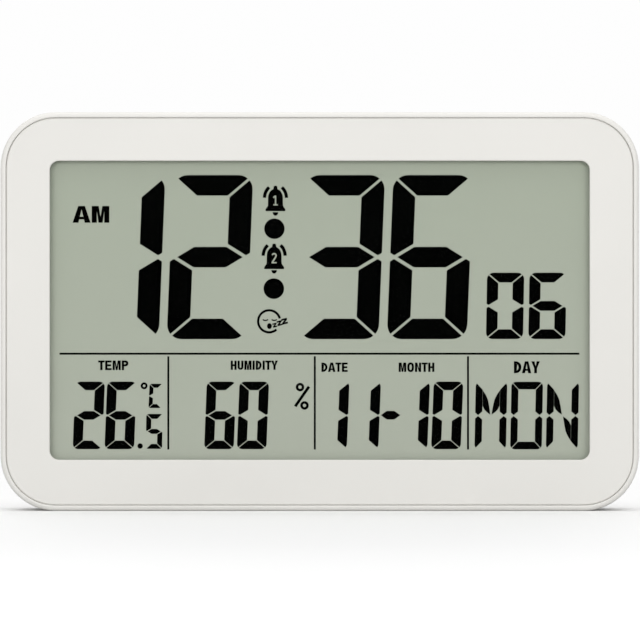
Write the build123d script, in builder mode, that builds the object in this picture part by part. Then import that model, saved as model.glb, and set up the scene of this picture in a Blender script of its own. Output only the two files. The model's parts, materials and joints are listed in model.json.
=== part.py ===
from build123d import *
import os

# Thermometer hygrometer clock with a large reflective display.
# Millimetres. X runs across the clock, -Y is the side that is read and +Z is up.
# The origin is under the middle of the case, on the surface that it stands on.
# "Back" and "front" name the Y of a face; "high" and "across" are measured from the
# middle of the face, as face() draws them.

# Case
width = 220.0
height = 137.4
depth = 26.0
corner = 19.0
rim_wall = 1.9
rim_round = 1.4
rim_inner_round = 0.4
back_wall = 2.2
back_round = 5.0
groove = 0.3
groove_depth = 0.5

# Clearances and overruns
overrun = 1.0
hair = 0.1
slip = 0.3
pin_slip = 0.05

# Front bezel
panel_step = 0.3
panel_wall = 2.2
panel_round = 0.3
skirt_wall = 1.6
skirt_length = 6.0
window_side = 17.0
window_above = 16.8
window_below = 17.6
window_corner = 3.2
window_round = 0.4

# Window lens and its adhesive
lens_lap = 3.0
lens_wall = 1.2
lens_seat = 1.0
tape_wall = 0.15
tape_width = 2.4

# Display cell
cell_gap = 0.5
cell_lap = 3.5
cell_top_lap = 5.0
polariser_wall = 0.2
polariser_lap = 1.2
glass_wall = 1.1
ledge = 3.0
reflector_wall = 0.3

# Display holder
holder_wall = 1.5
holder_ear = 3.6
holder_window_count = 3
holder_window_bar = 10.0
holder_window_side = 12.0
holder_window_edge = 9.0
holder_window_corner = 4.0
holder_rib = 1.2
holder_rib_depth = 2.5
ear_drop = 22.0

# Contact strip between the display and the board
strip_short = 11.0
strip_thick = 2.0

# Main board
board_inset = 7.0
board_height = 46.0
board_wall = 1.2
board_post = 1.0
board_post_radius = 2.6
board_edge = 6.0
board_drop = 7.7
board_corner = 1.5

# Small screws
screw_shank = 1.2
screw_head = 2.5
screw_head_thick = 1.6
screw_edge = 0.6
screw_slot = 0.7
screw_slot_deep = 0.8
boss_radius = 3.2
case_screw_length = 11.0
holder_screw_length = 3.4
board_screw_length = 2.8
screw_inset = 7.9
screw_drop = 16.7
tower_radius = 3.9
tower_well = 2.8
tower_length = 11.8
tower_floor = 3.0

# Keys at the back
key_names = ["mode", "set", "up", "down", "alarm"]
key_spacing = 19.0
key_drop = 18.7
key_width = 10.0
key_tall = 5.6
key_flange = 1.2
key_flange_thick = 1.0
key_round = 0.6
key_sink = 0.1
key_stem = 1.7
key_rib = 1.0
dish_margin = 5.0
dish_depth = 0.8

# Key switches on the board
switch_size = 6.0
switch_tall = 3.4
plunger_radius = 1.7
plunger_in = 1.0
plunger_out = 1.4
plunger_room = 0.6

# Battery bay, cells and door
cell_radius = 5.25
cell_length = 44.5
cell_nub = 1.9
cell_nub_length = 0.8
cell_edge = 0.4
bay_inset = 15.5
bay_rise = 56.7
bay_room = 6.5
bay_wall = 1.5
bay_side_gap = 0.5
bay_mid_gap = 1.0
door_wall = 1.6
door_sink = 0.1
door_lap = 2.0
door_corner = 2.5
door_floor_gap = 0.3
hook_width = 8.0
hook_spacing = 30.0
hook_reach = 0.8
hook_wall = 1.2
hook_root = 1.6
notch_drop = 1.3
latch_width = 10.0
latch_wall = 0.9
latch_deep = 2.6
latch_drop = 0.5
latch_loop = 0.9
latch_top_gap = 0.9
scoop_width = 16.0
scoop_tall = 9.0
scoop_deep = 1.2
grip_width = 12.0
grip_tall = 0.8
grip_deep = 0.4
grip_count = 3
grip_spacing = 1.6
grip_drop = 4.0
arrow_radius = 2.6
arrow_drop = 9.5

# Wires and springs are drawn with this many flats
wire_sides = 8

# Battery contacts
contact_wall = 0.4
contact_size = 8.6
tag_width = 3.0
tag_length = 2.4
dimple_radius = 1.6
dimple_tall = 0.5
spring_wire = 0.3
spring_base = 3.3
spring_taper = 14.0
spring_step = 1.25

# Stand
stand_share = 0.747
stand_draw_in = 10.0
stand_thick = 4.0
stand_skin = 1.6
stand_edge = 2.0
stand_edge_round = 0.8
stand_sink = 0.2
stand_floor_gap = 0.6
stand_side_gap = 0.6
stand_above = 1.5
stand_hinge_rise = 72.0
stand_foot_gap = 3.0
stand_notch_share = 0.154
stand_corner_share = 0.096
stand_pin = 1.5
stand_pin_length = 2.4
stand_head_gap = 2.8
tray_wall = 2.0
stand_rib = 1.2
stand_rib_spacing = 12.0
stand_rib_count = 3
stand_hinge_solid = 4.0

# Wall-hanging keyholes
keyhole_inset = 35.0
keyhole_drop = 32.7
keyhole_entry = 4.3
keyhole_slot = 2.2
keyhole_rise = 8.0
keyhole_head = 4.9
keyhole_room = 4.8
keyhole_wall = 1.4

# Sounder
sounder_inset = 41.0
sounder_rise = 36.0
sounder_radius = 13.5
sounder_wall = 0.3
ceramic_radius = 9.0
ceramic_wall = 0.25
sounder_ring = 1.2
sounder_ring_length = 4.0
sounder_step = 1.0
sound_hole = 1.0
sound_hole_reach = 5.0
sound_hole_count = 6

# Sensor board and the vents over it
sensor_rise = 63.0
sensor_width = 26.0
sensor_tall = 14.0
sensor_wall = 1.0
sensor_post = 3.4
sensor_post_radius = 2.0
sensor_pin = 0.8
sensor_post_inset = 4.0
vent_count = 6
vent_spacing = 4.0
vent_width = 1.6
vent_length = 14.0
humidity_width = 7.0
humidity_tall = 6.0
humidity_thick = 1.6
bead_radius = 1.1
bead_leg = 0.3
bead_high = 2.2
bead_offset = 4.0
humidity_offset = 2.5
humidity_spacing = 1.6
humidity_hole = 0.4

# Parts on the main board
blob_rise = 12.0
chip_rise = 28.0
can_inset = 26.0
crystal_across = 20.0
blob_radius = 7.0
blob_tall = 1.4
crystal_radius = 1.0
crystal_length = 6.0
chip_count = 6
chip_spacing = 5.0
chip_long = 2.0
chip_wide = 1.2
chip_tall = 0.6
can_radius = 2.5
can_tall = 7.0

# Leads
lead_radius = 0.6
lead_bend = 1.2
lead_step = 3.0
lead_turn_rise = 12.5
lead_wall_gap = 2.7
sensor_lead_count = 3
pad_low_rise = 9.0
pad_edge = 2.0
pad_rise = 15.0
pad_gap = 18.0

# Levels, from the front of the rim to the back of the case
mid = height / 2
front = -depth / 2
rear = depth / 2
wall_inside = rear - back_wall
panel_front = front + panel_step
panel_back = panel_front + panel_wall
tape_front = panel_back - lens_seat
lens_front = tape_front + tape_wall
lens_back = lens_front + lens_wall
cell_front = lens_back + cell_gap
polariser_back = cell_front + polariser_wall
front_glass_back = polariser_back + glass_wall
rear_glass_back = front_glass_back + glass_wall
reflector_back = rear_glass_back + reflector_wall
holder_front = reflector_back + hair
holder_back = holder_front + holder_wall
board_front = holder_back + board_post
board_back = board_front + board_wall
switch_back = board_back + switch_tall
plunger_back = switch_back + plunger_out
stand_axis = rear - stand_sink - stand_thick / 2
tray_floor = stand_axis - stand_thick / 2 - stand_floor_gap
door_back = rear - door_sink
door_front = door_back - door_wall
door_seat = door_front - hair
cell_axis = door_front - door_floor_gap - cell_radius
bay_floor = cell_axis - cell_radius - bay_side_gap / 2
tower_front = wall_inside - tower_length
screw_seat = tower_front + tower_floor

# Sizes and places of the pieces that follow from one another
window_width = width - 2 * window_side
window_height = height - window_above - window_below
window_lift = (window_below - window_above) / 2
case_inset = rim_wall + groove
bezel_width = width - 2 * case_inset
bezel_height = height - 2 * case_inset
bezel_corner = corner - case_inset
skirt_inset = rim_wall + hair
skirt_width = width - 2 * skirt_inset
skirt_height = height - 2 * skirt_inset
skirt_corner = corner - skirt_inset
lens_width = window_width + 2 * lens_lap
lens_height = window_height + 2 * lens_lap
glass_width = window_width + 2 * cell_lap
glass_height = window_height + 2 * cell_lap + cell_top_lap - cell_lap
glass_high = window_lift + (cell_top_lap - cell_lap) / 2
glass_top = glass_high + glass_height / 2
holder_width = glass_width + 2 * (slip + holder_wall)
holder_height = glass_height + 2 * (slip + holder_wall)
screw_across = width / 2 - screw_inset
screw_high = mid - screw_drop
ear_high = screw_high - ear_drop
board_width = window_width - 2 * board_inset
board_high = mid - board_drop - board_height / 2
board_low = board_high - board_height / 2
strip_width = board_width - 2 * strip_short
strip_high = glass_top - ledge / 2
holder_window_width = ((window_width - 2 * holder_window_side + holder_window_bar)
                       / holder_window_count - holder_window_bar)
holder_window_spacing = holder_window_width + holder_window_bar
holder_window_height = board_low + window_height / 2 - 2 * holder_window_edge
holder_window_high = board_low - holder_window_edge - holder_window_height / 2
key_high = mid - key_drop
bay_length = cell_length + bay_room
bay_across = width / 2 - bay_inset - bay_length / 2
bay_high = bay_rise - mid
stand_hinge_high = stand_hinge_rise - mid
keyhole_across = width / 2 - keyhole_inset
keyhole_high = mid - keyhole_drop
sounder_across = sounder_inset - width / 2
sounder_high = sounder_rise - mid
sensor_high = sensor_rise - mid
blob_high = board_low + blob_rise
chip_high = board_low + chip_rise
can_across = board_width / 2 - can_inset
pad_across = board_width / 2 - pad_edge
pad_left = sounder_across + pad_gap
pad_high = board_low + pad_rise
pad_low = board_low + pad_low_rise
bay_tall = 4 * cell_radius + bay_mid_gap + 2 * bay_side_gap
lead_turn = bay_high + bay_tall / 2 + lead_turn_rise
cell_spacing = 2 * cell_radius + bay_mid_gap
door_width = bay_length + 2 * door_lap
door_tall = bay_tall + 2 * door_lap
door_bottom = bay_high - door_tall / 2
door_top = bay_high + door_tall / 2
door_left = bay_across - door_width / 2
stand_top_width = 2 * stand_share * door_left
stand_foot_width = stand_top_width - stand_draw_in
stand_notch = stand_notch_share * stand_foot_width
stand_corner = stand_corner_share * stand_foot_width
stand_foot_high = stand_foot_gap - mid
stand_top_high = stand_hinge_high + stand_above
tray_top = stand_hinge_high + stand_head_gap
hook_front = door_seat - slip - hook_wall
latch_front = door_front - latch_deep
latch_high = mid + door_top - latch_drop
latch_low = latch_high - 2 * latch_wall - latch_loop
notch_floor = latch_front - slip
flange_back = wall_inside - hair
sounder_back = wall_inside - sounder_ring_length + sounder_step
sounder_front = sounder_back - sounder_wall
sensor_back = wall_inside - sensor_post
sensor_front = sensor_back - sensor_wall
dish_width = (len(key_names) - 1) * key_spacing + key_width + 2 * dish_margin
dish_tall = key_tall + 2 * dish_margin
lead_level = board_back + switch_tall + lead_step / 2
lead_low = board_back + 2 * lead_step
lead_under = board_back + lead_step
spring_length = (bay_room - 2 * contact_wall - dimple_tall - 2 * hair
                 - 2 * (spring_wire + pin_slip))
bay_right = bay_across + bay_length / 2
bay_left = bay_across - bay_length / 2
upper_high = bay_high + cell_spacing / 2
lower_high = bay_high - cell_spacing / 2

# Places on the face, as pairs across and high


def corners(across, high, middle=0):
    """Four places at plus and minus across, and high above and below the middle."""
    return [(x, middle + z) for x in (-across, across) for z in (-high, high)]


case_screw_places = corners(screw_across, screw_high)
holder_screw_places = corners(screw_across, ear_high)
board_screw_places = corners(board_width / 2 - board_edge, board_height / 2 - board_edge,
                             board_high)
key_places = [(key_spacing * (i - (len(key_names) - 1) / 2), key_high)
              for i in range(len(key_names))]
hook_places = [(bay_across + side * hook_spacing / 2, door_bottom) for side in (-1, 1)]
keyhole_places = [(side * keyhole_across, keyhole_high + keyhole_rise / 2)
                  for side in (-1, 1)]
keyhole_entries = [(side * keyhole_across, keyhole_high) for side in (-1, 1)]
sensor_posts = [(sounder_across + side * (sensor_width / 2 - sensor_post_inset), sensor_high)
                for side in (-1, 1)]


def face(level):
    """Plane across the clock at one Y, drawn from the middle of the face.

    Local X is across, local Y is up, and a positive extrusion comes forward.
    """
    return Plane(origin=(0, level, mid), x_dir=(1, 0, 0), z_dir=(0, -1, 0))


def window(level):
    """The same kind of plane, drawn from the middle of the window."""
    return Plane(origin=(0, level, mid + window_lift), x_dir=(1, 0, 0), z_dir=(0, -1, 0))


def from_behind(level):
    """Plane at one Y that faces back, for holes that are bored from behind."""
    return Plane(origin=(0, level, mid), x_dir=(1, 0, 0), z_dir=(0, 1, 0))


def finish(piece, label):
    """Name a finished piece and write it to its own file."""
    piece.part.label = label
    export_step(piece.part, f"parts/{label}.step")


def along(level, places):
    """Places on a face as points in the clock's own frame."""
    return [(across, level, mid + high) for across, high in places]


def screws(seat, length, places):
    """Pan-head screws with a cross slot, heads to the back, as one group of solids."""
    with BuildPart() as group:
        with BuildSketch(face(seat + screw_head_thick)):
            with Locations(places):
                Circle(screw_head)
        extrude(amount=screw_head_thick)
        chamfer(group.edges().group_by(Axis.Y)[-1], screw_edge)
        with BuildSketch(face(seat)):
            with Locations(places):
                Circle(screw_shank)
        extrude(amount=length)
        with BuildSketch(face(seat + screw_head_thick)):
            with Locations(places):
                Rectangle(screw_head, screw_slot)
                Rectangle(screw_slot, screw_head)
        extrude(amount=screw_slot_deep, mode=Mode.SUBTRACT)
    return group


def leads(routes):
    """Round insulated wires along rounded routes, as one group of solids."""
    with BuildPart() as group:
        for points in routes:
            with BuildLine() as route:
                FilletPolyline(*points, radius=lead_bend)
            with BuildSketch(Plane(origin=route.line @ 0, z_dir=route.line % 0)):
                RegularPolygon(lead_radius, wire_sides)
            sweep(path=route.line)
    return group


os.makedirs("parts", exist_ok=True)

# The moulded front panel, with its window, its skirt and its screw bosses. The skirt stands
# out past the panel's edge, so the groove round the panel has a floor.
with BuildPart() as front_bezel:
    with BuildSketch(face(panel_back)):
        RectangleRounded(bezel_width, bezel_height, bezel_corner)
    extrude(amount=panel_wall)
    fillet(front_bezel.faces().sort_by(Axis.Y)[0].edges(), panel_round)
    with BuildSketch(face(panel_back + skirt_length)):
        RectangleRounded(skirt_width, skirt_height, skirt_corner)
        RectangleRounded(skirt_width - 2 * skirt_wall, skirt_height - 2 * skirt_wall,
                         skirt_corner - skirt_wall, mode=Mode.SUBTRACT)
    extrude(amount=skirt_length + panel_wall - groove_depth)
    with BuildSketch(window(panel_back)):
        RectangleRounded(window_width, window_height, window_corner)
    extrude(amount=depth, mode=Mode.SUBTRACT)
    fillet(front_bezel.faces().sort_by(Axis.Y)[0].inner_wires()[0].edges(), window_round)
    with BuildSketch(window(panel_back)):
        RectangleRounded(lens_width + 2 * slip, lens_height + 2 * slip, window_corner + slip)
    extrude(amount=lens_seat, mode=Mode.SUBTRACT)
    with BuildSketch(face(tower_front)):
        with Locations(case_screw_places):
            Circle(boss_radius)
            Circle(screw_shank + pin_slip, mode=Mode.SUBTRACT)
    extrude(amount=tower_front - panel_back)
    with BuildSketch(face(holder_front)):
        with Locations(holder_screw_places):
            Circle(boss_radius)
            Circle(screw_shank + pin_slip, mode=Mode.SUBTRACT)
    extrude(amount=holder_front - panel_back)
finish(front_bezel, "front_bezel")

# The clear window and the adhesive frame that holds it in the bezel's seat
with BuildPart() as window_tape:
    with BuildSketch(window(lens_front)):
        RectangleRounded(lens_width, lens_height, window_corner)
        RectangleRounded(lens_width - 2 * tape_width, lens_height - 2 * tape_width,
                         window_corner, mode=Mode.SUBTRACT)
    extrude(amount=tape_wall)
finish(window_tape, "window_tape")

with BuildPart() as window_lens:
    with BuildSketch(window(lens_back)):
        RectangleRounded(lens_width, lens_height, window_corner)
    extrude(amount=lens_wall)
finish(window_lens, "window_lens")

# The display cell: polariser, two glasses and the reflector that lights it from behind
with BuildPart() as lcd_polariser:
    with BuildSketch(window(polariser_back)):
        Rectangle(window_width + 2 * polariser_lap, window_height + 2 * polariser_lap)
    extrude(amount=polariser_wall)
finish(lcd_polariser, "lcd_polariser")

with BuildPart() as lcd_front_glass:
    with BuildSketch(face(front_glass_back)):
        with Locations((0, glass_high)):
            Rectangle(glass_width, glass_height)
    extrude(amount=glass_wall)
finish(lcd_front_glass, "lcd_front_glass")

with BuildPart() as lcd_rear_glass:
    with BuildSketch(face(rear_glass_back)):
        with Locations((0, glass_high - ledge / 2)):
            Rectangle(glass_width, glass_height - ledge)
    extrude(amount=glass_wall)
finish(lcd_rear_glass, "lcd_rear_glass")

with BuildPart() as lcd_reflector:
    with BuildSketch(window(reflector_back)):
        Rectangle(window_width + 2 * polariser_lap, window_height + 2 * polariser_lap)
    extrude(amount=reflector_wall)
finish(lcd_reflector, "lcd_reflector")

# The tray that holds the display against the bezel and carries the main board
with BuildPart() as lcd_holder:
    with BuildSketch(face(holder_back)):
        with Locations((0, glass_high)):
            Rectangle(holder_width, holder_height)
        with Locations([(0, ear_high), (0, -ear_high)]):
            Rectangle(2 * (screw_across + holder_ear), 2 * holder_ear)
        with Locations((0, holder_window_high)):
            with GridLocations(holder_window_spacing, holder_window_spacing,
                               holder_window_count, 1):
                RectangleRounded(holder_window_width, holder_window_height,
                                 holder_window_corner, mode=Mode.SUBTRACT)
        with Locations((0, strip_high)):
            Rectangle(strip_width + 2 * slip, strip_thick + 2 * slip, mode=Mode.SUBTRACT)
        with Locations(holder_screw_places):
            Circle(screw_shank + slip, mode=Mode.SUBTRACT)
    extrude(amount=holder_wall)
    with BuildSketch(face(holder_front)):
        with Locations((0, glass_high)):
            Rectangle(holder_width, holder_height)
            Rectangle(glass_width + 2 * slip, glass_height + 2 * slip, mode=Mode.SUBTRACT)
    extrude(amount=holder_front - panel_back)
    with BuildSketch(face(board_front)):
        with Locations(board_screw_places):
            Circle(board_post_radius)
    extrude(amount=board_post)
    with BuildSketch(face(holder_back + holder_rib_depth)):
        with Locations((0, holder_window_high)):
            with GridLocations(holder_window_spacing, holder_window_spacing,
                               holder_window_count - 1, 1):
                Rectangle(holder_rib, holder_window_height)
    extrude(amount=holder_rib_depth)
    with BuildSketch(face(board_front)):
        with Locations(board_screw_places):
            Circle(screw_shank + pin_slip)
    extrude(amount=board_post + holder_wall, mode=Mode.SUBTRACT)
finish(lcd_holder, "lcd_holder")

# Striped rubber that joins the display's ledge to the board's pads
with BuildPart() as contact_strip:
    with BuildSketch(face(board_front)):
        with Locations((0, strip_high)):
            Rectangle(strip_width, strip_thick)
    extrude(amount=board_front - front_glass_back)
finish(contact_strip, "contact_strip")

# The main board and what is soldered to its back
with BuildPart() as main_board:
    with BuildSketch(face(board_back)):
        with Locations((0, board_high)):
            RectangleRounded(board_width, board_height, board_corner)
        with Locations(board_screw_places):
            Circle(screw_shank + slip, mode=Mode.SUBTRACT)
    extrude(amount=board_wall)
finish(main_board, "main_board")

with BuildPart() as controller_blob:
    with BuildSketch(face(board_back + blob_tall)):
        with Locations((0, blob_high)):
            Circle(blob_radius)
    extrude(amount=blob_tall)
    chamfer(controller_blob.edges().sort_by(Axis.Y)[-1], blob_tall / 2)
finish(controller_blob, "controller_blob")

with BuildPart() as clock_crystal:
    with BuildSketch(Plane.YZ.offset(crystal_across)):
        with Locations((board_back + crystal_radius + pin_slip, mid + blob_high)):
            Circle(crystal_radius)
    extrude(amount=crystal_length)
    chamfer(clock_crystal.edges().sort_by(Axis.X)[-1], crystal_radius / 3)
finish(clock_crystal, "clock_crystal")

for label, high in (("chip_resistors", chip_high), ("chip_capacitors", chip_high - chip_spacing)):
    with BuildPart() as chips:
        with BuildSketch(face(board_back + chip_tall)):
            with Locations((0, high)):
                with GridLocations(chip_spacing, chip_spacing, chip_count, 1):
                    Rectangle(chip_long, chip_wide)
        extrude(amount=chip_tall)
    finish(chips, label)

with BuildPart() as filter_capacitor:
    with BuildSketch(face(board_back + can_tall)):
        with Locations((can_across, blob_high)):
            Circle(can_radius)
    extrude(amount=can_tall)
    chamfer(filter_capacitor.edges().sort_by(Axis.Y)[-1], can_radius / 5)
finish(filter_capacitor, "filter_capacitor")

# The key switches, and for each key a plunger and the cap that presses it
with BuildPart() as switch_bodies:
    with BuildSketch(face(switch_back)):
        with Locations(key_places):
            Rectangle(switch_size, switch_size)
    extrude(amount=switch_tall)
    with BuildSketch(face(switch_back)):
        with Locations(key_places):
            Circle(plunger_radius + pin_slip)
    extrude(amount=plunger_in + plunger_room, mode=Mode.SUBTRACT)
finish(switch_bodies, "switch_bodies")

for key, place in zip(key_names, key_places):
    with BuildPart() as plunger:
        with BuildSketch(face(plunger_back)):
            with Locations(place):
                Circle(plunger_radius)
        extrude(amount=plunger_in + plunger_out)
        chamfer(plunger.edges().sort_by(Axis.Y)[-1], plunger_radius / 5)
    finish(plunger, f"{key}_plunger")

    with BuildPart() as cap:
        with BuildSketch(face(rear - key_sink)):
            with Locations(place):
                SlotOverall(key_width, key_tall)
        extrude(amount=rear - key_sink - flange_back)
        fillet(cap.faces().sort_by(Axis.Y)[-1].edges(), key_round)
        with BuildSketch(face(flange_back)):
            with Locations(place):
                SlotOverall(key_width + 2 * key_flange, key_tall + 2 * key_flange)
        extrude(amount=key_flange_thick)
        with BuildSketch(face(flange_back - key_flange_thick)):
            with Locations(place):
                Circle(key_stem)
                Rectangle(key_tall, key_rib)
                Rectangle(key_rib, key_tall)
        extrude(amount=flange_back - key_flange_thick - plunger_back)
    finish(cap, f"{key}_button")

# Screws
finish(screws(screw_seat, case_screw_length, case_screw_places), "case_screws")
finish(screws(holder_back, holder_screw_length, holder_screw_places), "holder_screws")
finish(screws(board_back, board_screw_length, board_screw_places), "board_screws")


def stand_half(high, grow=0):
    """Half the stand's width at a height; it narrows evenly from hinge to foot."""
    climb = (high - stand_foot_high) / (stand_top_high - stand_foot_high)
    return (stand_foot_width + (stand_top_width - stand_foot_width) * climb) / 2 + grow


def stand_outline(low, high, grow=0):
    """The stand's four-sided outline between two heights, grown sideways."""
    return [(-stand_half(low, grow), low), (stand_half(low, grow), low),
            (stand_half(high, grow), high), (-stand_half(high, grow), high)]


pin_reach = stand_half(stand_hinge_high) + stand_pin_length
pin_hole_reach = stand_half(stand_hinge_high, stand_side_gap + tray_wall) + hair

# The back half of the case, as a full form first and then the room inside it
with BuildPart() as case_form:
    with BuildSketch(face(rear)):
        RectangleRounded(width, height, corner)
    extrude(amount=depth)
    fillet(case_form.faces().sort_by(Axis.Y)[-1].edges(), back_round)
    fillet(case_form.faces().sort_by(Axis.Y)[0].edges(), rim_round)

with BuildPart() as case_room:
    with BuildSketch(face(wall_inside)):
        RectangleRounded(width - 2 * rim_wall, height - 2 * rim_wall, corner - rim_wall)
    extrude(amount=depth)
    fillet(case_room.faces().sort_by(Axis.Y)[-1].edges(), back_round - rim_wall)

with BuildPart() as rear_shell:
    add(case_form.part)
    add(case_room.part, mode=Mode.SUBTRACT)
    fillet(rear_shell.faces().sort_by(Axis.Y)[0].inner_wires()[0].edges(), rim_inner_round)

    # Solid stock behind the stand's tray, the battery bay, the keyholes and the screws
    with BuildSketch(face(wall_inside)):
        with BuildLine():
            Polyline(*stand_outline(-mid + rim_wall / 2, tray_top + tray_wall,
                                    stand_side_gap + tray_wall), close=True)
        make_face()
    extrude(amount=wall_inside - tray_floor + tray_wall)
    with BuildSketch(face(wall_inside)):
        with Locations((bay_across, bay_high)):
            Rectangle(bay_length + 2 * bay_wall, bay_tall + 2 * bay_wall)
    extrude(amount=wall_inside - bay_floor + bay_wall)
    with BuildSketch(face(wall_inside)):
        with Locations((bay_across, bay_high)):
            Rectangle(door_width + 2 * (slip + bay_wall), door_tall + 2 * (slip + bay_wall))
    extrude(amount=wall_inside - door_seat + bay_wall)
    with BuildSketch(face(wall_inside)):
        with Locations(hook_places):
            Rectangle(hook_width + 2 * (slip + bay_wall), 2 * (notch_drop + bay_wall))
        with Locations((bay_across, door_top)):
            Rectangle(latch_width + 2 * (slip + bay_wall), 2 * (latch_top_gap + bay_wall))
    extrude(amount=wall_inside - notch_floor + bay_wall)
    with BuildSketch(face(wall_inside)):
        with Locations(keyhole_places):
            SlotCenterToCenter(keyhole_rise, 2 * (keyhole_head + keyhole_wall), rotation=90)
    extrude(amount=keyhole_room + keyhole_wall)
    with BuildSketch(face(wall_inside)):
        with Locations(case_screw_places):
            Circle(tower_radius)
        with Locations((sounder_across, sounder_high)):
            Circle(sounder_radius + pin_slip + sounder_ring)
    extrude(amount=sounder_ring_length)
    with BuildSketch(face(wall_inside)):
        with Locations(case_screw_places):
            Circle(tower_radius)
    extrude(amount=tower_length)
    with BuildSketch(face(wall_inside)):
        with Locations(sensor_posts):
            Circle(sensor_post_radius)
    extrude(amount=sensor_post)
    add(case_form.part, mode=Mode.INTERSECT)

    # The tray that the stand folds into, open at the bottom for a fingertip
    with BuildSketch(face(rear + overrun)):
        with BuildLine():
            Polyline(*stand_outline(-mid - overrun, tray_top, stand_side_gap), close=True)
        make_face()
    extrude(amount=rear + overrun - tray_floor, mode=Mode.SUBTRACT)
    with BuildSketch(Plane.YZ.offset(-pin_hole_reach)):
        with Locations((stand_axis, mid + stand_hinge_high)):
            Circle(stand_pin + pin_slip)
    extrude(amount=2 * pin_hole_reach, mode=Mode.SUBTRACT)

    # The battery bay, the seat of its door, and the notches for hooks and latch
    with BuildSketch(face(rear + overrun)):
        with Locations((bay_across, bay_high)):
            RectangleRounded(door_width + 2 * slip, door_tall + 2 * slip, door_corner + slip)
    extrude(amount=rear + overrun - door_seat, mode=Mode.SUBTRACT)
    with BuildSketch(face(door_seat)):
        with Locations((bay_across, bay_high)):
            Rectangle(bay_length, bay_tall)
    extrude(amount=door_seat - bay_floor, mode=Mode.SUBTRACT)
    with BuildSketch(face(door_seat)):
        with Locations([(x, z + (door_lap - notch_drop) / 2) for x, z in hook_places]):
            Rectangle(hook_width + 2 * slip, door_lap + notch_drop)
        with Locations((bay_across, door_top + (latch_top_gap - door_lap) / 2)):
            Rectangle(latch_width + 2 * slip, latch_top_gap + door_lap)
    extrude(amount=door_seat - notch_floor, mode=Mode.SUBTRACT)
    with BuildSketch(face(rear + overrun)):
        with Locations((bay_across, door_top)):
            SlotOverall(scoop_width, scoop_tall)
    extrude(amount=overrun + scoop_deep, mode=Mode.SUBTRACT)
    with BuildSketch(Plane.YZ.offset(bay_right - overrun)):
        with Locations([(cell_axis, mid + high) for high in (upper_high, lower_high)]):
            Rectangle(tag_width + slip, contact_wall + slip)
    extrude(amount=2 * overrun + bay_wall, mode=Mode.SUBTRACT)

    # Keyholes, each with a closed pocket behind it for the head of a wall screw
    with BuildSketch(face(wall_inside)):
        with Locations(keyhole_places):
            SlotCenterToCenter(keyhole_rise, 2 * keyhole_head, rotation=90)
    extrude(amount=keyhole_room, mode=Mode.SUBTRACT)
    with BuildSketch(face(rear + overrun)):
        with Locations(keyhole_places):
            SlotCenterToCenter(keyhole_rise, 2 * keyhole_slot, rotation=90)
        with Locations(keyhole_entries):
            Circle(keyhole_entry)
    extrude(amount=back_wall + 2 * overrun, mode=Mode.SUBTRACT)

    # Screw towers, bored from the back
    with Locations(from_behind(rear)):
        with Locations(case_screw_places):
            CounterBoreHole(screw_shank + slip, tower_well, rear - screw_seat, depth)

    # The dish that the keys stand in, and their holes
    with BuildSketch(face(rear + overrun)):
        with Locations((0, key_high)):
            SlotOverall(dish_width, dish_tall)
    extrude(amount=overrun + dish_depth, mode=Mode.SUBTRACT)
    with BuildSketch(face(rear)):
        with Locations(key_places):
            SlotOverall(key_width + 2 * slip, key_tall + 2 * slip)
    extrude(amount=back_wall + overrun, mode=Mode.SUBTRACT)

    # The sounder's ring with its step, and the holes that let its tone out
    with BuildSketch(face(wall_inside)):
        with Locations((sounder_across, sounder_high)):
            Circle(sounder_radius - sounder_step)
    extrude(amount=sounder_ring_length, mode=Mode.SUBTRACT)
    with BuildSketch(face(sounder_back)):
        with Locations((sounder_across, sounder_high)):
            Circle(sounder_radius + pin_slip)
    extrude(amount=sounder_ring_length, mode=Mode.SUBTRACT)
    with BuildSketch(face(rear + overrun)):
        with Locations((sounder_across, sounder_high)):
            Circle(sound_hole)
            with PolarLocations(sound_hole_reach, sound_hole_count):
                Circle(sound_hole)
    extrude(amount=back_wall + 2 * overrun, mode=Mode.SUBTRACT)

    # Vents over the temperature and humidity sensors
    with BuildSketch(face(rear + overrun)):
        with Locations((sounder_across, sensor_high)):
            with GridLocations(vent_spacing, vent_spacing, vent_count, 1):
                SlotOverall(vent_length, vent_width, rotation=90)
    extrude(amount=back_wall + 2 * overrun, mode=Mode.SUBTRACT)

    # Pins on the sensor posts, headed over the sensor board
    with BuildSketch(face(sensor_back)):
        with Locations(sensor_posts):
            Circle(sensor_pin)
    extrude(amount=sensor_wall)
    with BuildSketch(face(sensor_front)):
        with Locations(sensor_posts):
            Circle(sensor_post_radius)
    extrude(amount=sensor_pin)
finish(rear_shell, "rear_shell")

# The fold-out stand, a ribbed plate with a pin at each end of its hinge
with BuildPart() as rear_stand:
    with BuildSketch(face(rear - stand_sink)) as stand_sketch:
        with BuildLine():
            Polyline(*stand_outline(stand_foot_high, stand_top_high), close=True)
        make_face()
        fillet(stand_sketch.vertices().group_by(Axis.Y)[0], stand_corner)
        with Locations((0, stand_foot_high)):
            Circle(stand_notch, mode=Mode.SUBTRACT)
    extrude(amount=stand_thick)
    fillet(rear_stand.faces().sort_by(Axis.Y)[-1].edges(), stand_edge_round)
    with BuildSketch(face(rear - stand_sink - stand_skin)):
        with BuildLine():
            Polyline(*stand_outline(stand_foot_high + stand_notch + stand_edge,
                                    stand_hinge_high - stand_hinge_solid, -stand_edge),
                     close=True)
        make_face()
        with Locations((0, -mid / 2)):
            with GridLocations(stand_rib_spacing, stand_rib_spacing, stand_rib_count, 1):
                Rectangle(stand_rib, height, mode=Mode.SUBTRACT)
    extrude(amount=stand_thick - stand_skin, mode=Mode.SUBTRACT)
    with BuildSketch(Plane.YZ.offset(-pin_reach)):
        with Locations((stand_axis, mid + stand_hinge_high)):
            Circle(stand_pin)
    extrude(amount=2 * pin_reach)
finish(rear_stand, "rear_stand")

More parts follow.
